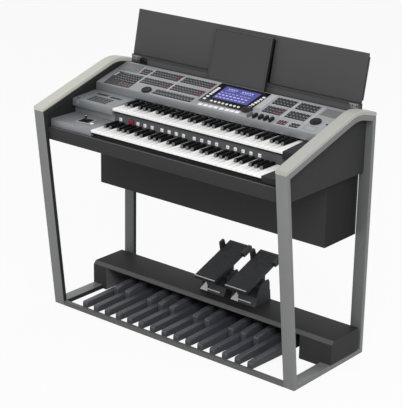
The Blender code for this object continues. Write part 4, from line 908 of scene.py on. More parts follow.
@dataclass
class Manual:
    """One manual: the naturals, the sharps and the case that they lie in."""

    word: str
    case_edge: float = 0.0022
    keys_left: float = -0.358
    keys_right: float = 0.488
    ledge: float = 0.8095
    lip: float = 0.826
    natural_edge: float = 0.0005
    sharp_edge: float = 0.0019
    sharp_height: float = 0.006
    sharp_front: float = 0.011
    gap_light_depth: float = 0.054
    gap_light_drop: float = 0.0034
    gap_light_size: Spot = (0.002, 0.0001)
    gap_light_inset: Spot = (0.002, 0.001)
    well: Patch = (-0.490, -0.415, 0.8360, 0.8405)
    seen_length: float = 0.02
    seen_height: float = 0.80
    seam: float = 0.0005
    strip_depth: float = 0.022

    def build(self, bench: Bench) -> None:
        """Rounds the keys, lays a pale sheet of painted light under the gaps between the naturals and
        dresses the case.
        """
        naturals = self.word + "_naturals"
        sharps = self.word + "_sharps"
        bench.piece(self.word + "_natural_keys", bench.rounded(naturals, self.natural_edge, 2),
                    IVORY, bench.body_of(naturals), [naturals], True)
        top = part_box(sharps)[1].z
        self.gap_light(bench)

        def upper(edge: Edge) -> bool:
            """Whether an edge is on the part of a sharp that stands over the naturals."""
            return max(v.co.z for v in edge.verts) > top - self.sharp_height

        bm = bench.rounded(sharps, self.sharp_edge, 3, upper)
        # the front slopes take a light grey: painted reflection
        paint(bm, 1, lambda face: face.normal.y < -0.6 and face.normal.z > 0.02
              and face.calc_center_median().z > top - self.sharp_front)
        bench.piece(self.word + "_sharp_keys", bm, EBONY, bench.body_of(sharps),
                    [sharps], True, [EBONY_FRONT_REFLECTION])
        self.case(bench)

    def gap_light(self, bench: Bench) -> None:
        """A pale sheet a little below the naturals' tops: painted light in the gaps between them,
        where shade would fall.
        """
        naturals = self.word + "_naturals"
        low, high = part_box(naturals)
        side, front = self.gap_light_inset
        bm = soft_block(high.x - low.x - 2 * side, self.gap_light_depth, *self.gap_light_size)
        seat = ((low.x + high.x) / 2, low.y + front + self.gap_light_depth / 2, high.z - self.gap_light_drop)
        bench.piece(self.word + "_key_web", moved(bm, Matrix.Translation(seat)), GAP_PAINTED_LIGHT,
                    bench.body_of(naturals), (), True)

    def case(self, bench: Bench) -> None:
        """The case, silver on the left and dark to the right of the keys."""
        name = self.word + "_manual_case"

        def outer(edge: Edge) -> bool:
            """Whether an edge is long and high enough to be seen."""
            first, second = (v.co for v in edge.verts)
            long = (first - second).length > self.seen_length
            return long and max(first.z, second.z) > self.seen_height

        bm = bench.rounded(name, self.case_edge, 2, outer)
        for x in (self.keys_left - self.seam, self.keys_right + self.seam):
            cut(bm, (x, 0, 0), (1, 0, 0))
        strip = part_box(name)[0].y + self.strip_depth
        left, right, low, high = self.well
        for face in bm.faces:
            middle = face.calc_center_median()
            in_well = left < middle.x < right and low < middle.z < high
            under_keys = self.keys_left < middle.x and middle.z < self.lip
            if middle.x > self.keys_right or middle.z < self.ledge or in_well or under_keys:
                face.material_index = 1
            elif self.word == "upper" and self.keys_left < middle.x and middle.y < strip:
                face.material_index = 2
        bench.piece(self.word + "_case_shell", bm, SILVER_PAINT, ROOT, [name], True,
                    [DARK_PLASTIC_AND_SHADE, STRIP_PLASTIC])


@dataclass
class PresetButtons:
    """Square buttons on the strip under the upper manual, and a large round red one."""

    front: float = 0.0802
    height: float = 0.857
    proud: float = 0.003
    stem: float = 0.0075
    size: float = 0.0136
    pitch: float = 0.0369
    red_out: float = 0.0016
    red: float = -0.267
    red_radius: float = 0.0118
    singles: tuple[float, ...] = (-0.324, -0.232, -0.195, -0.157, 0.375)
    fours: tuple[float, ...] = (-0.106, 0.0585, 0.223)

    def build(self, bench: Bench) -> None:
        """Makes the caps, their grey inserts and the red button."""
        body = bench.body_of("preset_buttons")
        xs = list(self.singles)
        for first in self.fours:
            xs += [first + self.pitch * step for step in range(4)]
        base = self.front + self.stem - self.proud
        cap = soft_block(self.size, self.size, self.stem, 0.0012, 2)
        bench.piece("preset_caps", stamped(cap, [self.at(x, base) for x in xs]), WHITE_PLASTIC,
                    body, ["preset_buttons"])
        face = self.front - self.proud + 0.0001
        mark = soft_block(0.0042, 0.0034, 0.0004, 0.0001)
        bench.piece("preset_marks", stamped(mark, [self.at(x, face) for x in xs]), GREY_INSERT,
                    body)
        r = self.red_radius
        red = turned([(0, 0), (r, 0), (r, 0.0006), (r * 0.8, 0.0014), (r * 0.4, 0.0018),
                      (0, 0.0019)], 32)
        red_stem = soft_block(0.0125, 0.0125, self.stem - 0.0018, 0.0005)
        red_parts = [moved(red, self.at(self.red, self.front - self.red_out)),
                     moved(red_stem, self.at(self.red, base))]
        bench.piece("preset_red_cap", joined(red_parts), RED_BUTTON, body)
        ring = turned([(r + 0.0003, 0), (r + 0.0020, 0), (r + 0.0016, 0.0020),
                       (r + 0.0005, 0.0020), (r + 0.0003, 0)], 32)
        bench.piece("preset_red_ring", moved(ring, self.at(self.red, self.front)), KNOB_PLASTIC,
                    ROOT)

    def at(self, x: float, y: float) -> Matrix:
        """Where a piece that points to the front stands in the row."""
        return Matrix.Translation((x, y, self.height)) @ FORWARD


class Lamp(Enum):
    """What the last switches of a field look like."""

    PLAIN = "plain"
    RED_END = "red end"
    RED_START = "red start"
    RED = "red"


RED_COLUMNS = 2


@dataclass(frozen=True)
class Field:
    """A dark field of small switches, given in the panel's own coordinates."""

    left: float
    right: float
    near: float
    far: float
    columns: int
    rows: int
    lamp: Lamp = Lamp.PLAIN

    def spots(self) -> list[tuple[float, float, bool]]:
        """Centres of the switches, and whether each is red."""
        found = []
        step = (self.right - self.left) / self.columns
        rise = (self.far - self.near) / self.rows
        for row in range(self.rows):
            for column in range(self.columns):
                across = self.left + step * (column + 0.5)
                along = self.near + rise * (row + 0.45)
                found.append((across, along, self.is_red(column)))
        return found

    def is_red(self, column: int) -> bool:
        """Whether the switches of a column are red."""
        if self.lamp is Lamp.RED_END:
            return column >= self.columns - RED_COLUMNS
        return self.lamp is Lamp.RED or self.lamp is Lamp.RED_START and column == 0

    def red_part(self, inset: float) -> Optional[Spot]:
        """Where the ground of its red switches starts and ends, if it has any."""
        step = (self.right - self.left) / self.columns
        ends = {Lamp.RED_END: (self.right - RED_COLUMNS * step, self.right - inset),
                Lamp.RED_START: (self.left + inset, self.left + step),
                Lamp.RED: (self.left + inset, self.right - inset)}
        return ends.get(self.lamp)


@dataclass
class ControlPanel:
    """The sloping panel with its switch fields, display, grilles, knobs and sliders."""

    front: float = 0.205
    front_top: float = 0.9445
    shell_edge: float = 0.0030
    plate: float = 0.0005
    field_rim: Spot = (0.0044, 0.0040)
    ground_more: Spot = (0.0, -0.001)
    red_inset: float = 0.0005
    red_proud: float = 0.0002
    mark_behind: float = 0.0062
    switch: Triple = (0.0085, 0.0058, 0.0013)
    fields: tuple[Field, ...] = (
        Field(-0.455, -0.405, 0.125, 0.173, 4, 3, Lamp.RED_START),
        Field(-0.397, -0.243, 0.130, 0.183, 11, 3, Lamp.RED_END),
        Field(-0.234, -0.072, 0.132, 0.181, 11, 3, Lamp.RED_END),
        Field(-0.400, -0.243, 0.063, 0.113, 11, 3, Lamp.RED_END),
        Field(-0.234, -0.072, 0.062, 0.112, 11, 3, Lamp.RED_END),
        Field(-0.282, -0.078, 0.007, 0.050, 13, 2),
        Field(0.232, 0.328, 0.130, 0.186, 6, 3),
        Field(0.343, 0.438, 0.130, 0.186, 6, 3),
        Field(0.234, 0.325, 0.061, 0.116, 6, 3, Lamp.RED_END),
        Field(0.342, 0.438, 0.061, 0.116, 6, 3),
        Field(0.343, 0.386, 0.006, 0.040, 3, 2, Lamp.RED),
        Field(0.401, 0.444, 0.006, 0.040, 3, 2),
    )
    block: tuple[Spot, ...] = ((-0.542, 0.002), (-0.404, 0.007), (-0.409, 0.113), (-0.553, 0.112))
    block_field: Field = Field(-0.521, -0.411, 0.040, 0.108, 8, 4)
    block_red: Field = Field(-0.474, -0.407, 0.010, 0.035, 4, 2, Lamp.RED)
    block_strip: Spot = (-0.5405, 0.090)
    block_marks: Row = Row((-0.5405, 0.077), (0.0, 0.0052), 6)
    dividers: tuple[tuple[Spot, Spot], ...] = (
        ((-0.4504, 0.129), (-0.4647, 0.189)),
        ((-0.399, 0.054), (-0.4025, 0.181)),
        ((-0.234, 0.051), (-0.245, 0.172)),
        ((0.3355, 0.052), (0.3355, 0.188)),
        ((0.4500, 0.052), (0.4500, 0.188)),
    )
    grilles: tuple[Patch, ...] = (
        (-0.571, -0.460, 0.127, 0.190), (0.462, 0.560, 0.128, 0.182))
    divider_width: float = 0.0048
    ribs: Row = Row((0.2055, 0.084), (0.0, 0.0072), 16)
    socket: Spot = (0.5325, 0.077)
    engraving: tuple[Patch, ...] = (
        (0.4895, 0.045, 0.047, 0.0012), (0.4895, 0.013, 0.047, 0.0012),
        (0.463, 0.029, 0.0012, 0.032), (0.516, 0.029, 0.0012, 0.032))
    lcd: Patch = (-0.021, 0.151, 0.080, 0.1785)
    glass_lift: float = 0.0005
    mark_rows: tuple[tuple[float, float, tuple[tuple[float, float, int], ...]], ...] = (
        (0.163, 0.0130, ((0.004, 0.012, 4), (0.071, 0.012, 5))),
        (0.151, 0.0060, ((0.000, 0.009, 5), (0.070, 0.009, 7))),
        (0.131, 0.0060, ((-0.010, 0.019, 8),)),
        (0.113, 0.0130, ((-0.010, 0.019, 8),)),
        (0.094, 0.0110, ((-0.010, 0.019, 8),)))
    mark_share: Spot = (0.62, 0.5)
    small_keys: tuple[Spot, ...] = (
        (-0.044, 0.153), (-0.044, 0.140), (-0.044, 0.127), (-0.044, 0.114), (-0.044, 0.100),
        (-0.044, 0.081), (-0.044, 0.060), (0.178, 0.158), (0.1765, 0.141), (0.175, 0.125),
        (0.173, 0.111), (0.171, 0.095), (0.169, 0.079))
    round_keys: Row = Row((-0.005, 0.055), (0.0193, 0.0), 8)
    soft_key_line: Spot = (0.0155, 0.0007)
    soft_keys: tuple[float, ...] = (-0.0295, -0.0042, 0.0209, 0.0459, 0.0748, 0.1017, 0.1255,
                                    0.1499)
    slider_x: tuple[float, ...] = (0.2134, 0.2388, 0.2665, 0.2915, 0.3169)
    slider_along: Spot = (0.019, 0.020)
    cap_half: Spot = (0.0058, 0.0125)
    cap_height: float = 0.0125
    cap_edge: float = 0.0026
    knobs: tuple[tuple[str, float, float, float, float], ...] = (
        ("left_knob", -0.317, 0.021, 0.0215, 0.0003), ("right_knob", 0.482, 0.077, 0.023, 0.0003),
        ("data_wheel", 0.177, 0.050, 0.023, 0.0008))
    pointer_out: float = 0.55
    pointer_lift: float = 0.0071
    dimple_lift: float = 0.0059
    knob_steps: int = 72
    flute_every: int = 3
    flute_share: float = 0.965

    def build(self, bench: Bench) -> None:
        """Makes the housing's shell and everything on it."""
        self.shell(bench)
        self.switch_fields(bench)
        self.left_block(bench)
        self.trim(bench)
        self.display(bench)
        self.sliders(bench)
        self.turned_parts(bench)

    def shell(self, bench: Bench) -> None:
        """The housing with its outer edges rounded."""
        def outer(edge: Edge) -> bool:
            """Whether an edge is an outer one of the housing."""
            first, second = (v.co for v in edge.verts)
            inner = max(abs(first.x), abs(second.x)) < 0.2 and abs(first.z - second.z) < 0.05
            return not (inner and (first - second).length < 0.26)

        bm = bench.rounded("control_panel", self.shell_edge, 3, outer)
        # the sloping top takes the lighter copy of the silver: painted light
        paint(bm, 1, lambda face: face.normal.z > 0.93 and face.normal.y < -0.2)
        bench.piece("control_panel_shell", bm, SILVER_PAINT, ROOT,
                    ["control_panel"], True, [SILVER_AND_PAINTED_LIGHT])

    def switch_fields(self, bench: Bench) -> None:
        """The fields' plates, their switches, the light marks over them and the red ones."""
        rims, left, right, wine = [], [], [], []
        for field in self.fields:
            patch = (field.left, field.right, field.near, field.far)
            rims.append(on_patch(patch, 0.0003, 0.0001, self.field_rim))
            plates = left if field.left < 0 else right
            plates.append(on_patch(patch, self.plate, 0.0003, self.ground_more))
        for field in (*self.fields, self.block_red):
            part = field.red_part(self.red_inset)
            if part:
                wine.append(on_patch((*part, field.near, field.far), self.plate + self.red_proud,
                                     0.0003, self.ground_more))
        bench.piece("field_rims", joined(rims), TRIM_SILVER_AND_HIGHLIGHT, ROOT)
        bench.piece("left_field_plates", joined(left), FIELD_PLASTIC, ROOT)
        bench.piece("right_field_plates", joined(right), DARK_FIELD, ROOT)
        bench.piece("red_field_plates", joined(wine), WINE_PLATE, ROOT)
        grey, red, marks = [], [], []
        for field in (*self.fields, self.block_field, self.block_red):
            for across, along, is_red in field.spots():
                (red if is_red else grey).append(on_panel(across, along, self.plate - 0.0001))
                marks.append(on_panel(across, along + self.mark_behind, self.plate - 0.00005))
        bench.piece("grey_switches", stamped(soft_block(*self.switch, 0.0006), grey),
                    SWITCH_RUBBER, ROOT)
        bench.piece("red_switches", stamped(soft_block(*self.switch, 0.0006), red), RED_LAMP,
                    ROOT)
        mark = soft_block(0.0066, 0.0018, 0.0003, 0.0001)
        bench.piece("switch_marks", stamped(mark, marks), MARK_INK, ROOT)

    def left_block(self, bench: Bench) -> None:
        """The dark block at the left end, with its strip of light marks."""
        plate = outline_plate(self.block, 0.0, self.plate, 0.0003)
        bench.piece("left_switch_block", moved(plate, on_panel(0, 0)), DARK_FIELD, ROOT)
        strip = moved(soft_block(0.0105, 0.034, 0.0009, 0.0004),
                      on_panel(*self.block_strip, self.plate - 0.0001))
        bench.piece("left_block_strip", strip, GLASS_BLACK, ROOT)
        places = [on_panel(*spot, self.plate + 0.0007) for spot in self.block_marks.spots()]
        mark = soft_block(0.0085, 0.0028, 0.0003, 0.0001)
        bench.piece("left_block_marks", stamped(mark, places), WHITE_PLASTIC, ROOT)

    def trim(self, bench: Bench) -> None:
        """Dividers between the fields, grilles, the ribbed strip, a socket and fine lines."""
        bars = bmesh.new()
        for (x0, s0), (x1, s1) in self.dividers:
            length = math.hypot(x1 - x0, s1 - s0)
            turn = Matrix.Rotation(math.atan2(x0 - x1, s1 - s0), 4, "Z")
            at = on_panel((x0 + x1) / 2, (s0 + s1) / 2) @ turn
            Stamp(soft_block(self.divider_width, length, 0.0012, 0.0006)).press(bars, [at])
        bench.piece("panel_dividers", bars, TRIM_SILVER_AND_HIGHLIGHT, ROOT)
        sheets = joined([on_patch(patch, 0.0008, 0.0005) for patch in self.grilles])
        bench.piece("panel_grilles", sheets, GRILLE_SHEET, ROOT)
        ribs = [on_panel(*spot) for spot in self.ribs.spots()]
        bench.piece("panel_ribs", stamped(soft_block(0.030, 0.0046, 0.0014, 0.0011, 2), ribs),
                    TRIM_SILVER_AND_HIGHLIGHT, ROOT)
        spot = turned([(0, 0), (0.0050, 0), (0.0050, 0.0006), (0.0038, 0.0012), (0, 0.0006)], 20)
        bench.piece("panel_socket", moved(spot, on_panel(*self.socket)), KNOB_PLASTIC, ROOT)
        lines = [moved(soft_block(wide, deep, 0.0003, 0.0001), on_panel(across, along))
                 for across, along, wide, deep in self.engraving]
        bench.piece("panel_engraving", joined(lines), FIELD_PLASTIC, ROOT)

    def display(self, bench: Bench) -> None:
        """The glass, the lit screen with generic marks, and the buttons round it."""
        bench.carry(GLASS_BLACK, "display_screen")
        lit = on_patch(self.lcd, 0.0003, 0.0001, lift=self.glass_lift)
        bench.piece("display_picture", lit, SCREEN_LIGHT, ROOT)
        marks = bmesh.new()
        wide, deep = self.mark_share
        for along, tall, groups in self.mark_rows:
            for start, step, count in groups:
                places = [on_panel(start + step * index, along, self.glass_lift + 0.0002)
                          for index in range(count)]
                Stamp(soft_block(step * wide, tall * deep, 0.0003, 0.0001)).press(marks, places)
        bench.piece("display_marks", marks, SCREEN_MARK, ROOT)
        lift = self.glass_lift - 0.0001
        keys = stamped(soft_block(0.0125, 0.0098, 0.0022, 0.0011, 2),
                       [on_panel(*spot, lift) for spot in self.small_keys])
        dome = turned([(0, 0), (0.0058, 0), (0.0058, 0.0012), (0.0042, 0.0021), (0, 0.0023)], 18)
        Stamp(dome).press(keys, [on_panel(*spot, lift) for spot in self.round_keys.spots()])
        along, rise = self.soft_key_line
        row = [on_panel(across, along + rise * index)
               for index, across in enumerate(self.soft_keys)]
        Stamp(soft_block(0.0190, 0.0145, 0.0020, 0.0010, 2)).press(keys, row)
        bench.piece("display_buttons", keys, WHITE_PLASTIC, ROOT)

    def sliders(self, bench: Bench) -> None:
        """Five short sliders: dark slots and the caps that run in them."""
        slot_along, cap_along = self.slider_along
        slots = [on_panel(x, slot_along, -0.0001) for x in self.slider_x]
        bench.piece("slider_slots", stamped(soft_block(0.0045, 0.034, 0.0003, 0.0001), slots),
                    KNOB_PLASTIC, ROOT)
        first, *others = [on_panel(x, cap_along, 0.0001) for x in self.slider_x]
        bench.piece("slider_caps", stamped(self.slider_cap(), others), KNOB_PLASTIC, ROOT)
        bench.piece("slider_grey_cap", moved(self.slider_cap(), first), GREY_RUBBER, ROOT)

    def slider_cap(self) -> Mesh:
        """One slider's cap."""
        wide, deep = self.cap_half
        return outline_plate([(-wide, -deep), (wide, -deep), (wide, deep), (-wide, deep)], 0.0,
                             self.cap_height, self.cap_edge)

    def turned_parts(self, bench: Bench) -> None:
        """Both knobs and the data wheel, with fluted rims and dished tops."""
        dimple = [(0, 0), (0.0050, 0.0), (0.0050, 0.0004), (0.0040, 0.0007), (0, 0.0002)]
        for node, across, along, radius, lift in self.knobs:
            shape = self.fluted(radius)
            out = radius * self.pointer_out
            if node == "data_wheel":
                pointer = moved(turned(dimple, 18), Matrix.Translation((0, out, self.dimple_lift)))
            else:
                pointer = moved(soft_block(0.0012, radius - out, 0.0004, 0.0002),
                                Matrix.Translation((0, out, self.pointer_lift)))
            seat = on_panel(across, along, lift)
            bench.piece(node + "_body", moved(shape, seat), KNOB_PLASTIC, bench.body_of(node),
                        [node])
            bench.piece(node + "_pointer", moved(pointer, seat), GREY_RUBBER,
                        bench.body_of(node))

    def fluted(self, radius: float) -> Mesh:
        """A low knob whose rim has shallow flutes."""
        profile = [(0, 0), (radius - 0.0015, 0), (radius, 0.0012), (radius, 0.0048)]
        profile += [(radius - 0.0010, 0.0064), (radius - 0.0035, 0.0073), (radius - 0.0060, 0.0073)]
        profile += [(radius - 0.0085, 0.0061), (0, 0.0058)]
        bm = turned(profile, self.knob_steps)
        for vert in bm.verts:
            if vert.co.xy.length > radius - 0.0012:
                step = round(math.atan2(vert.co.y, vert.co.x) / math.tau * self.knob_steps)
                if step % self.flute_every == 0:
                    vert.co.x *= self.flute_share
                    vert.co.y *= self.flute_share
        return bm


@dataclass
class LeftControls:
    """What stands on the blocks to the left of the keys."""

    lower_top: float = 0.8407
    stick: Spot = (-0.453, 0.013)
    rim_halves: Spot = (0.0272, 0.0300)
    plate_halves: Spot = (0.0170, 0.0271)
    well_size: float = 0.0474
    well_turn: float = math.radians(12.0)
    well_floor: float = 0.8367
    ball: float = 0.0065
    round_button: Spot = (-0.4065, -0.003)
    top_front: Spot = (0.0657, 0.9020)
    top_rise: float = math.atan2(0.0097, 0.1393)
    first_switch: Spot = (-0.5125, 0.0880)
    switch_pitch: Spot = (0.0133, 0.0145)
    mark_behind: float = 0.0062
    dashes: tuple[Row, ...] = (Row((-0.521, 0.165), (0.0200, 0.0), 3),
                               Row((-0.446, 0.160), (0.0200, 0.0), 3))
    oval: Spot = (-0.556, 0.0775)
    socket: Triple = (-0.551, 0.0659, 0.888)

    def build(self, bench: Bench) -> None:
        """Makes what stands on the lower and on the upper block."""
        self.joystick(bench)
        self.upper_block(bench)

    def joystick(self, bench: Bench) -> None:
        """The stick with a light tip that is a painted highlight, the well's liner, rim and plate,
        and a round button.
        """
        x, y = self.stick
        turn = Matrix.Rotation(self.well_turn, 4, "Z")
        liner = moved(soft_block(self.well_size, self.well_size, 0.0002, 0.0001),
                      Matrix.Translation((x, y, self.well_floor)) @ turn)
        ring = [(0.0125, 0.0), (0.0170, 0.0), (0.0160, 0.0022), (0.0135, 0.0022), (0.0125, 0.0)]
        collar = moved(turned(ring, 28), Matrix.Translation((x, y, self.well_floor + 0.0001)))
        bench.piece("joystick_liner", joined([liner, collar]), KNOB_PLASTIC, ROOT)
        seat = Matrix.Translation((x, y, self.well_floor + 0.0003 + self.ball))
        profile = [(0, -self.ball)]
        for step in range(1, 12):
            angle = math.pi * step / 13
            profile.append((self.ball * math.sin(angle), -self.ball * math.cos(angle)))
        profile += [(0.0034, 0.0070), (0.0034, 0.0100), (0.0056, 0.0130), (0.0056, 0.0170),
                    (0.0040, 0.0185), (0, 0.0188)]
        body = bench.body_of("joystick")
        bench.piece("joystick_stick", moved(turned(profile, 28), seat), KNOB_PLASTIC, body,
                    ["joystick"])
        tip = [(0, 0.0184), (0.0034, 0.0184), (0.0030, 0.0192), (0, 0.0195)]
        # the light tip is a painted highlight on the stick's top
        bench.piece("joystick_tip_highlight", moved(turned(tip, 20), seat), TRIM_SILVER_AND_HIGHLIGHT, body)
        near, far = (half * math.sqrt(2) for half in self.rim_halves)
        rim = turned([(near, 0), (far, 0), (far - 0.0004, 0.0009), (near, 0.0009), (near, 0)], 4)
        square = Matrix.Rotation(math.pi / 4, 4, "Z")
        seat_rim = Matrix.Translation((x, y, self.lower_top)) @ turn @ square
        bench.piece("joystick_surround", moved(rim, seat_rim), TRIM_SILVER_AND_HIGHLIGHT, ROOT)
        inner, outer = (half * math.sqrt(2) for half in self.plate_halves)
        plate = turned([(inner, 0), (outer, 0), (outer, 0.0005), (inner, 0.0005), (inner, 0)], 4)
        bench.piece("joystick_plate", moved(plate, seat_rim), KNOB_PLASTIC, ROOT)
        dome = [(0, 0), (0.0085, 0), (0.0085, 0.0014), (0.0062, 0.0028), (0, 0.0033)]
        seat_round = Matrix.Translation((*self.round_button, self.lower_top))
        bench.piece("left_round_button", moved(turned(dome, 20), seat_round), WHITE_PLASTIC, ROOT)

    def on_top(self, x: float, y: float, lift: float = 0.0) -> Matrix:
        """Where a piece stands on the upper block's gently rising top."""
        front, height = self.top_front
        z = height + (y - front) * math.tan(self.top_rise) + lift
        return Matrix.Translation((x, y, z)) @ Matrix.Rotation(self.top_rise, 4, "X")

    def upper_block(self, bench: Bench) -> None:
        """The socket, the switches and the light rows on the upper left block."""
        across, along = self.first_switch
        wide, deep = self.switch_pitch
        spots, marks = [], []
        for row in range(4):
            for column in range(8):
                x = across + wide * column
                y = along + deep * row
                spots.append(self.on_top(x, y, -0.0001))
                marks.append(self.on_top(x, y + self.mark_behind, -0.00005))
        switch = soft_block(0.0104, 0.0084, 0.0014, 0.0006)
        bench.piece("upper_block_switches", stamped(switch, spots), SWITCH_RUBBER, ROOT)
        mark = soft_block(0.0062, 0.0011, 0.0001, 0.00003)
        bench.piece("upper_block_marks", stamped(mark, marks), MARK_INK, ROOT)
        dashes = [self.on_top(*spot) for row in self.dashes for spot in row.spots()]
        dash = soft_block(0.0180, 0.0150, 0.0006, 0.0002)
        bench.piece("upper_block_dashes", stamped(dash, dashes), KNOB_PLASTIC, ROOT)
        ring = [(0.0022, 0), (0.0078, 0), (0.0078, 0.0008), (0.0062, 0.0014), (0.0022, 0.0014),
                (0.0022, 0)]
        at = Matrix.Translation(self.socket) @ FORWARD
        bench.piece("headphone_socket", moved(turned(ring, 24), at), SILVER_AND_PAINTED_LIGHT, ROOT)
        oval = moved(turned([(0, 0), (0.0055, 0), (0.0055, 0.0003), (0, 0.0004)], 20),
                     self.on_top(*self.oval) @ Matrix.Diagonal((2.1, 1.0, 1.0, 1.0)))
        bench.piece("upper_block_oval", oval, DARK_FIELD, ROOT)


@dataclass
class Lid:
    """The folding lid, its hinge plates and the music rest."""

    hinge_y: float = 0.434
    hinge_z: float = 1.02451
    lean: float = math.radians(11.4)
    band: float = 0.052
    front_edge: float = 0.0020
    rear_edge: float = 0.0015
    rest_seat: Spot = (0.3991, 0.99681)
    rest_lean: float = math.radians(13.5)
    rest_middle: float = -0.001
    rest_size: Triple = (0.290, 0.016, 0.2125)
    rest_edge: float = 0.0022
    border_inset: float = 0.0070
    border_width: float = 0.0024
    border_depth: float = 0.0006
    # A black sheet on the lid behind the rest: painted shadow between the rest and the lid.
    shadow_seat: Triple = (0, -0.0002, 0.0005)
    shadow_size: Triple = (0.294, 0.0006, 0.170)
    bracket: Triple = (0.554, 0.4263, 1.006)
    bracket_screws: tuple[Spot, ...] = ((-0.010, -0.007), (-0.010, 0.006), (0.010, -0.007),
                                        (0.010, 0.006))
    screw_seat: float = 0.0004
    buffer: Triple = (-0.514, 0.4270, 0.9985)
    leaf_half: float = 0.530

    def build(self, bench: Bench) -> None:
        """Makes the leaves, the rest, the hinge and the buffer."""
        self.leaves(bench)
        self.rest(bench)
        self.plates(bench)

    def leaves(self, bench: Bench) -> None:
        """Both leaves with rounded edges; the front one's ends are dark and its lower band is a
        painted reflection of the panel below.
        """
        bm = bench.rounded("lid_front_leaf", self.front_edge, 3)
        rise = Vector((0, math.sin(self.lean), math.cos(self.lean)))
        foot = Vector((0, self.hinge_y + bench.shift, self.hinge_z))
        cut(bm, foot + rise * self.band, rise)
        for face in bm.faces:
            if abs(face.normal.x) > FACING:
                face.material_index = 2
            # lower band: painted reflection of the panel below
            elif (face.calc_center_median() - foot).dot(rise) < self.band:
                face.material_index = 1
        bench.piece("lid_front_board", bm, LID_UPPER, bench.body_of("lid_front_leaf"),
                    ["lid_front_leaf"], True, [LID_LOWER, DARK_PLASTIC_AND_SHADE])
        bench.piece("lid_rear_board", bench.rounded("lid_rear_leaf", self.rear_edge, 2),
                    LID_UPPER, bench.body_of("lid_rear_leaf"), ["lid_rear_leaf"], True)

    def rest(self, bench: Bench) -> None:
        """The music rest: a board with a thin border let into its face, and a black sheet on the lid
        behind it, a painted shadow between the rest and the lid.
        """
        middle = Matrix.Translation((self.rest_middle, self.rest_size[1] / 2, 0))
        bm = moved(soft_block(*self.rest_size, self.rest_edge, 3), middle)
        bm.faces.ensure_lookup_table()
        face = min(bm.faces, key=lambda f: f.normal.y - f.calc_area())
        bmesh.ops.inset_region(bm, faces=[face], thickness=self.border_inset, depth=0.0)
        border = bmesh.ops.inset_region(bm, faces=[face], thickness=self.border_width,
                                        depth=-self.border_depth)["faces"]
        # the rest's sides are painted black, painted shade beside the rest; its border groove is dark
        # too
        paint(bm, 1, lambda side: side in border or abs(side.normal.x) > FACING)
        seat = Matrix.Translation((0, *self.rest_seat)) @ Matrix.Rotation(-self.rest_lean, 4, "X")
        bench.piece("music_rest_board", moved(bm, seat), REST_BOARD, bench.body_of("music_rest"),
                    ["music_rest"], False, [DARK_PLASTIC_AND_SHADE])
        lift = Matrix.Translation((self.rest_middle, self.hinge_y, self.hinge_z))
        tilt = Matrix.Rotation(-self.lean, 4, "X")
        on_leaf = Matrix.Translation(self.shadow_seat)
        # painted shadow: a black sheet where the rest shades the lid
        shadow_sheet = soft_block(*self.shadow_size, 0.0001)
        bench.piece("rest_painted_shadow", moved(shadow_sheet, lift @ tilt @ on_leaf), EBONY,
                    bench.body_of("lid_front_leaf"))

    def plates(self, bench: Bench) -> None:
        """The hinge with its dark middle, the screws at its ends and the round rubber buffer."""
        bm = bench.copied("lid_hinge")
        for x in (-self.leaf_half, self.leaf_half):
            cut(bm, (x, 0, 0), (1, 0, 0))
        paint(bm, 1, lambda face: abs(face.calc_center_median().x) < self.leaf_half)
        bench.piece("lid_hinge_leaf", bm, STEEL_PLATE, ROOT, ["lid_hinge"], True,
                    [LID_LOWER])
        x, y, z = self.bracket
        heads = [Matrix.Translation((side * x + across, y + self.screw_seat, z + up)) @ FORWARD
                 for side in (-1, 1) for across, up in self.bracket_screws]
        profile = [(0, 0), (0.0036, 0), (0.0034, 0.0009), (0.0018, 0.0016), (0, 0.0017)]
        bench.piece("hinge_screws", stamped(turned(profile, 16), heads), SCREW_STEEL, ROOT)
        disc = [(0, 0), (0.0195, 0), (0.0195, 0.004), (0.0175, 0.006), (0.004, 0.006), (0, 0.0052)]
        at = Matrix.Translation(self.buffer) @ FORWARD
        bench.piece("lid_buffer", moved(turned(disc, 36), at), KNOB_PLASTIC, ROOT)


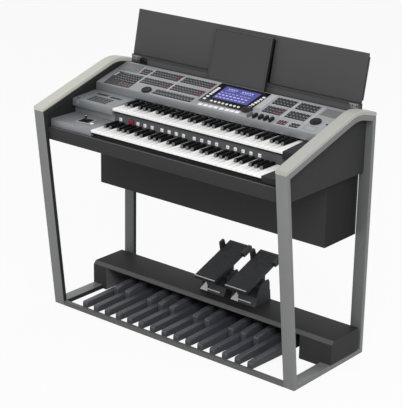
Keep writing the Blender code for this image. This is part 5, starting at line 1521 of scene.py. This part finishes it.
@dataclass
class Pedals:
    """The pedal box and the 25 pedals under it."""

    naturals: int = 15
    sharps: int = 10
    pivot_y: float = 0.395
    pivot_z: float = 0.022
    heel: float = 0.014
    rest_y: float = 0.300
    tip_y: float = 0.018
    nose: float = 0.008
    tops: tuple[float, float] = (0.041, 0.049)
    lows: tuple[float, float, float] = (0.0160, 0.0098, 0.0045)
    block_top: float = 0.0745
    block_fall: float = 0.0095
    block_rear: float = 0.010
    nose_steps: int = 6
    heel_steps: int = 12
    upper_edge: float = 0.0032
    upper_from: float = 0.0235
    box_edge: float = 0.0020
    box_wall: float = 0.004
    box_lip: float = 0.015

    def build(self, bench: Bench) -> None:
        """Dresses the box and makes every pedal."""
        def outer(edge: Edge) -> bool:
            """Whether an edge runs along the box's top."""
            first, second = (v.co for v in edge.verts)
            return min(first.z, second.z) > 0.09 and abs(first.x - second.x) > 0.5

        bm = bench.rounded("pedal_box", self.box_edge, 3, outer)
        low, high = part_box("pedal_box")
        wall = self.box_wall
        for face in bm.faces:
            middle = face.calc_center_median()
            inside = all(low[k] + wall < middle[k] < high[k] - wall for k in range(3))
            # the sloping front edge is a lighter grey
            if face.normal.y < -0.3 and face.normal.z > 0.3:
                face.material_index = 1
            # the box's top takes the darkened laminate: painted shade
            elif face.normal.z > FACING and middle.z > high.z - self.box_edge:
                face.material_index = 3
            # faces inside the box: painted light
            elif inside and middle.y > low.y + self.box_lip:
                face.material_index = 2
        bench.piece("pedal_box_shell", bm, BLACK_BOARD, ROOT, ["pedal_box"], True,
                    [LIGHT_CHAMFER, BOX_PAINTED_LIGHT, BOARD_PAINTED_SHADE])
        for index in range(self.naturals):
            self.pedal(bench, "natural_pedal_%02d" % (index + 1), False)
        for index in range(self.sharps):
            self.pedal(bench, "sharp_pedal_%02d" % (index + 1), True)

    def nose_points(self, tip: float, top: float) -> list[Spot]:
        """Points round the upper front corner."""
        points = []
        for step in range(self.nose_steps + 1):
            turn = math.pi - math.pi / 2 * step / self.nose_steps
            points.append((tip + self.nose * (1 + math.cos(turn)),
                           top - self.nose * (1 - math.sin(turn))))
        return points

    def pedal(self, bench: Bench, node: str, raised: bool) -> None:
        """One pedal with a rounded nose, soft upper edges and a round heel.

        Args:
            bench: the bench.
            node: the CAD node that it stands for.
            raised: whether it is a short one with a block on it.
        """
        low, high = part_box(node)
        tip = low.y - bench.shift
        reach = (tip - self.tip_y) / (self.rest_y - self.tip_y)
        under = self.lows[1] if raised else self.lows[0]
        over = self.tops[0] + (self.tops[1] - self.tops[0]) * reach
        points = [(tip, under)]
        if raised:
            rear = self.rest_y - self.block_rear
            points += self.nose_points(tip, self.block_top - self.block_fall)
            points += [((tip + rear) / 2, self.block_top - self.block_fall / 4)]
            points += [(rear - 0.003, self.block_top - 0.0004), (rear, self.block_top - 0.003)]
            points += [(rear, self.tops[1])]
        else:
            points += self.nose_points(tip, over)
        points += [(self.rest_y, self.tops[1])]
        for step in range(self.heel_steps + 1):
            turn = math.pi / 2 - math.pi * step / self.heel_steps
            points.append((self.pivot_y + self.heel * math.cos(turn),
                           self.pivot_z + self.heel * math.sin(turn)))
        points += [(self.pivot_y - 2 * self.heel, self.pivot_z - self.heel)]
        points += [(self.rest_y, self.lows[2])]

        def upper(edge: Edge) -> bool:
            """Whether an edge is on the pedal's upper side or its nose."""
            middle = (edge.verts[0].co + edge.verts[1].co) / 2
            return middle.z > self.upper_from and middle.y < self.rest_y + 0.05

        bm = side_outline(points, low.x, high.x, self.upper_edge, 3, upper)
        bench.piece(node + "_wood", bm, PEDAL_WOOD, bench.body_of(node),
                    [node])


@dataclass
class SwellPedals:
    """Two treadles on their bases, with ribbed rubber, trim and steel brackets."""

    centres: tuple[float, float] = (-0.020, 0.1425)
    words: tuple[str, str] = ("left", "right")
    front: float = 0.252
    front_top: float = 0.2023
    lean: float = math.radians(20.8)
    width: float = 0.108
    ribs: Row = Row((0.0, 0.018), (0.0, 0.0122), 19)
    mat_size: Triple = (0.100, 0.235, 0.0010)
    mat_middle: float = 0.1275
    base_front: float = 0.305
    bracket_lean: float = math.radians(-31.4)
    bracket_outline: tuple[Spot, ...] = ((-0.0615, 0.0), (-0.0230, 0.0), (-0.0320, 0.0250),
                                         (-0.0450, 0.0365))
    bracket_foot: float = 0.1215
    bar_size: Triple = (0.098, 0.0056, 0.0016)
    bar_seat: Triple = (-0.010, 0.0045, 0.1305)

    def on_treadle(self, centre: float, along: float, lift: float) -> Matrix:
        """Where a piece stands on a treadle's top."""
        y = self.front + along * math.cos(self.lean) - lift * math.sin(self.lean)
        z = self.front_top + along * math.sin(self.lean) + lift * math.cos(self.lean)
        return Matrix.Translation((centre, y, z)) @ Matrix.Rotation(self.lean, 4, "X")

    def build(self, bench: Bench) -> None:
        """Dresses both pedals and adds their fine parts."""
        for word, centre in zip(self.words, self.centres):
            node = word + "_swell_pedal"
            body = bench.body_of(node)
            bench.carry(TREADLE_METAL, node)
            bench.carry(SWELL_CASTING, word + "_swell_base")
            ribs = [self.on_treadle(centre, along, 0.0007) for _, along in self.ribs.spots()]
            mat = moved(soft_block(*self.mat_size, 0.0008),
                        self.on_treadle(centre, self.mat_middle, -0.0001))
            rubber = joined([mat, stamped(soft_block(0.094, 0.0062, 0.0012, 0.0009, 2), ribs)])
            bench.piece(word + "_treadle_rubber", rubber, TREAD_RUBBER, body)
            lip = moved(soft_block(self.width, 0.0040, 0.0022, 0.0010, 2),
                        self.on_treadle(centre, 0.0030, -0.0008))
            bench.piece(word + "_treadle_trim", lip, TRIM_SILVER_AND_HIGHLIGHT, body)
        self.brackets(bench)

    def brackets(self, bench: Bench) -> None:
        """The triangular steel brackets on the bases' fronts, each with a cross bar."""
        turn = Matrix.Rotation(self.bracket_lean, 4, "X") @ FORWARD
        side, out, up = self.bar_seat
        parts = []
        for centre in self.centres:
            foot = (centre, self.base_front - 0.0004, self.bracket_foot)
            plate = outline_plate(self.bracket_outline, 0.0, 0.0018)
            parts.append(moved(plate, Matrix.Translation(foot) @ turn))
            middle = (centre + side, self.base_front + out, up)
            bar = soft_block(*self.bar_size, 0.0007)
            parts.append(moved(bar, Matrix.Translation(middle) @ turn))
        bench.piece("swell_base_brackets", joined(parts), BRACKET_STEEL, ROOT)


@dataclass
class Studio:
    """Floor, lights, white surroundings and the camera."""

    azimuth: float = math.radians(39.252)
    elevation: float = math.radians(19.55)
    roll: float = math.radians(1.062)
    distance: float = 5.7849
    target: Triple = (-0.0004, 0.0099, 0.5445)
    focal: float = 1446.23
    picture: tuple[int, int] = (402, 408)
    ambient: float = 0.45
    lamp_aim: Triple = (0, 0, 0.6)
    floor_radius: float = 14.0
    floor_glow: float = 0.91
    lamps: tuple[tuple[Triple, float, float], ...] = (
        ((2.6, -2.4, 3.4), 2.2, 112.0),
        ((-2.8, -2.6, 2.2), 2.6, 30.0),
        ((0.3, 2.4, 3.0), 2.4, 20.0),
    )

    def build(self) -> None:
        """Sets up everything that isn't part of the organ."""
        self.floor()
        self.surroundings()
        for index, (spot, size, power) in enumerate(self.lamps):
            self.lamp(index, spot, size, power)
        self.camera()
        bpy.context.scene.view_settings.view_transform = "Standard"

    def floor(self) -> None:
        """A pale floor that looks white to the camera and keeps a faint shadow."""
        bm = bmesh.new()
        bmesh.ops.create_circle(bm, cap_ends=True, radius=self.floor_radius, segments=96)
        mesh = bpy.data.meshes.new("floor")
        bm.to_mesh(mesh)
        bm.free()
        shader = Shader("floor")
        shader.dress(Base_Color=(0.85, 0.85, 0.85), Roughness=0.9, Specular_IOR_Level=0.1)
        seen = Expr(shader, shader.node("ShaderNodeLightPath").outputs["Is Camera Ray"])
        glow = shader.node("ShaderNodeEmission", {}, {"Color": (1, 1, 1, 1), "Strength": 1.0})
        both = shader.node("ShaderNodeMixShader", {}, {0: seen * self.floor_glow})
        shader.tree.links.new(shader.surface.outputs[0], both.inputs[1])
        shader.tree.links.new(glow.outputs[0], both.inputs[2])
        shader.tree.links.new(both.outputs[0], shader.tree.nodes["Material Output"].inputs[0])
        mesh.materials.append(shader.material)
        floor = bpy.data.objects.new("floor", mesh)
        bpy.context.scene.collection.objects.link(floor)

    def surroundings(self) -> None:
        """White where it is seen or mirrored, and a soft light from all round."""
        world = bpy.data.worlds.new("surroundings")
        bpy.context.scene.world = world
        world.use_nodes = True
        nodes = Nodes(world.node_tree)
        path = nodes.node("ShaderNodeLightPath").outputs
        seen = Expr(nodes, path["Is Camera Ray"]).most(path["Is Transmission Ray"])
        level = nodes.node("ShaderNodeMapRange", {}, {
            "Value": seen.most(path["Is Glossy Ray"]), "To Min": self.ambient, "To Max": 1.0})
        background = nodes.tree.nodes["Background"]
        nodes.feed(background.inputs["Color"], (1, 1, 1, 1))
        nodes.feed(background.inputs["Strength"], level.outputs[0])

    def lamp(self, index: int, spot: Triple, size: float, power: float) -> None:
        """A square soft lamp that points at the organ."""
        data = bpy.data.lights.new("lamp_%d" % index, "AREA")
        data.size = size
        data.energy = power
        lamp = bpy.data.objects.new("lamp_%d" % index, data)
        turn = (Vector(self.lamp_aim) - Vector(spot)).to_track_quat("-Z", "Y")
        lamp.matrix_world = Matrix.Translation(spot) @ turn.to_matrix().to_4x4()
        bpy.context.scene.collection.objects.link(lamp)

    def camera(self) -> None:
        """The camera at the photograph's viewing angle."""
        back = Vector((math.sin(self.azimuth) * math.cos(self.elevation),
                       -math.cos(self.azimuth) * math.cos(self.elevation),
                       math.sin(self.elevation)))
        level = Vector((math.cos(self.azimuth), math.sin(self.azimuth), 0))
        above = back.cross(level)
        right = math.cos(self.roll) * level + math.sin(self.roll) * above
        up = math.cos(self.roll) * above - math.sin(self.roll) * level
        data = bpy.data.cameras.new("camera")
        data.sensor_width = 36.0
        data.lens = self.focal * data.sensor_width / max(self.picture)
        data.clip_end = 60.0
        camera = bpy.data.objects.new("camera", data)
        turn = Matrix((right, up, back)).transposed().to_4x4()
        camera.matrix_world = Matrix.Translation(Vector(self.target) + back * self.distance) @ turn
        bpy.context.scene.collection.objects.link(camera)
        bpy.context.scene.camera = camera


def main() -> None:
    """Builds the organ's looks."""
    logging.basicConfig(level=logging.INFO, format="%(message)s")
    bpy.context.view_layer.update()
    bench = Bench()
    assemblies = (Stand(), Console(), Manual("lower"), Manual("upper"), PresetButtons(),
                  ControlPanel(), LeftControls(), Lid(), Pedals(), SwellPedals())
    for assembly in assemblies:
        assembly.build(bench)
    Studio().build()
    left = sorted(set(bench.nodes) - bench.dressed)
    if left:
        LOG.warning("nodes without a finish: %s", left)


if __name__ == "__main__":
    main()
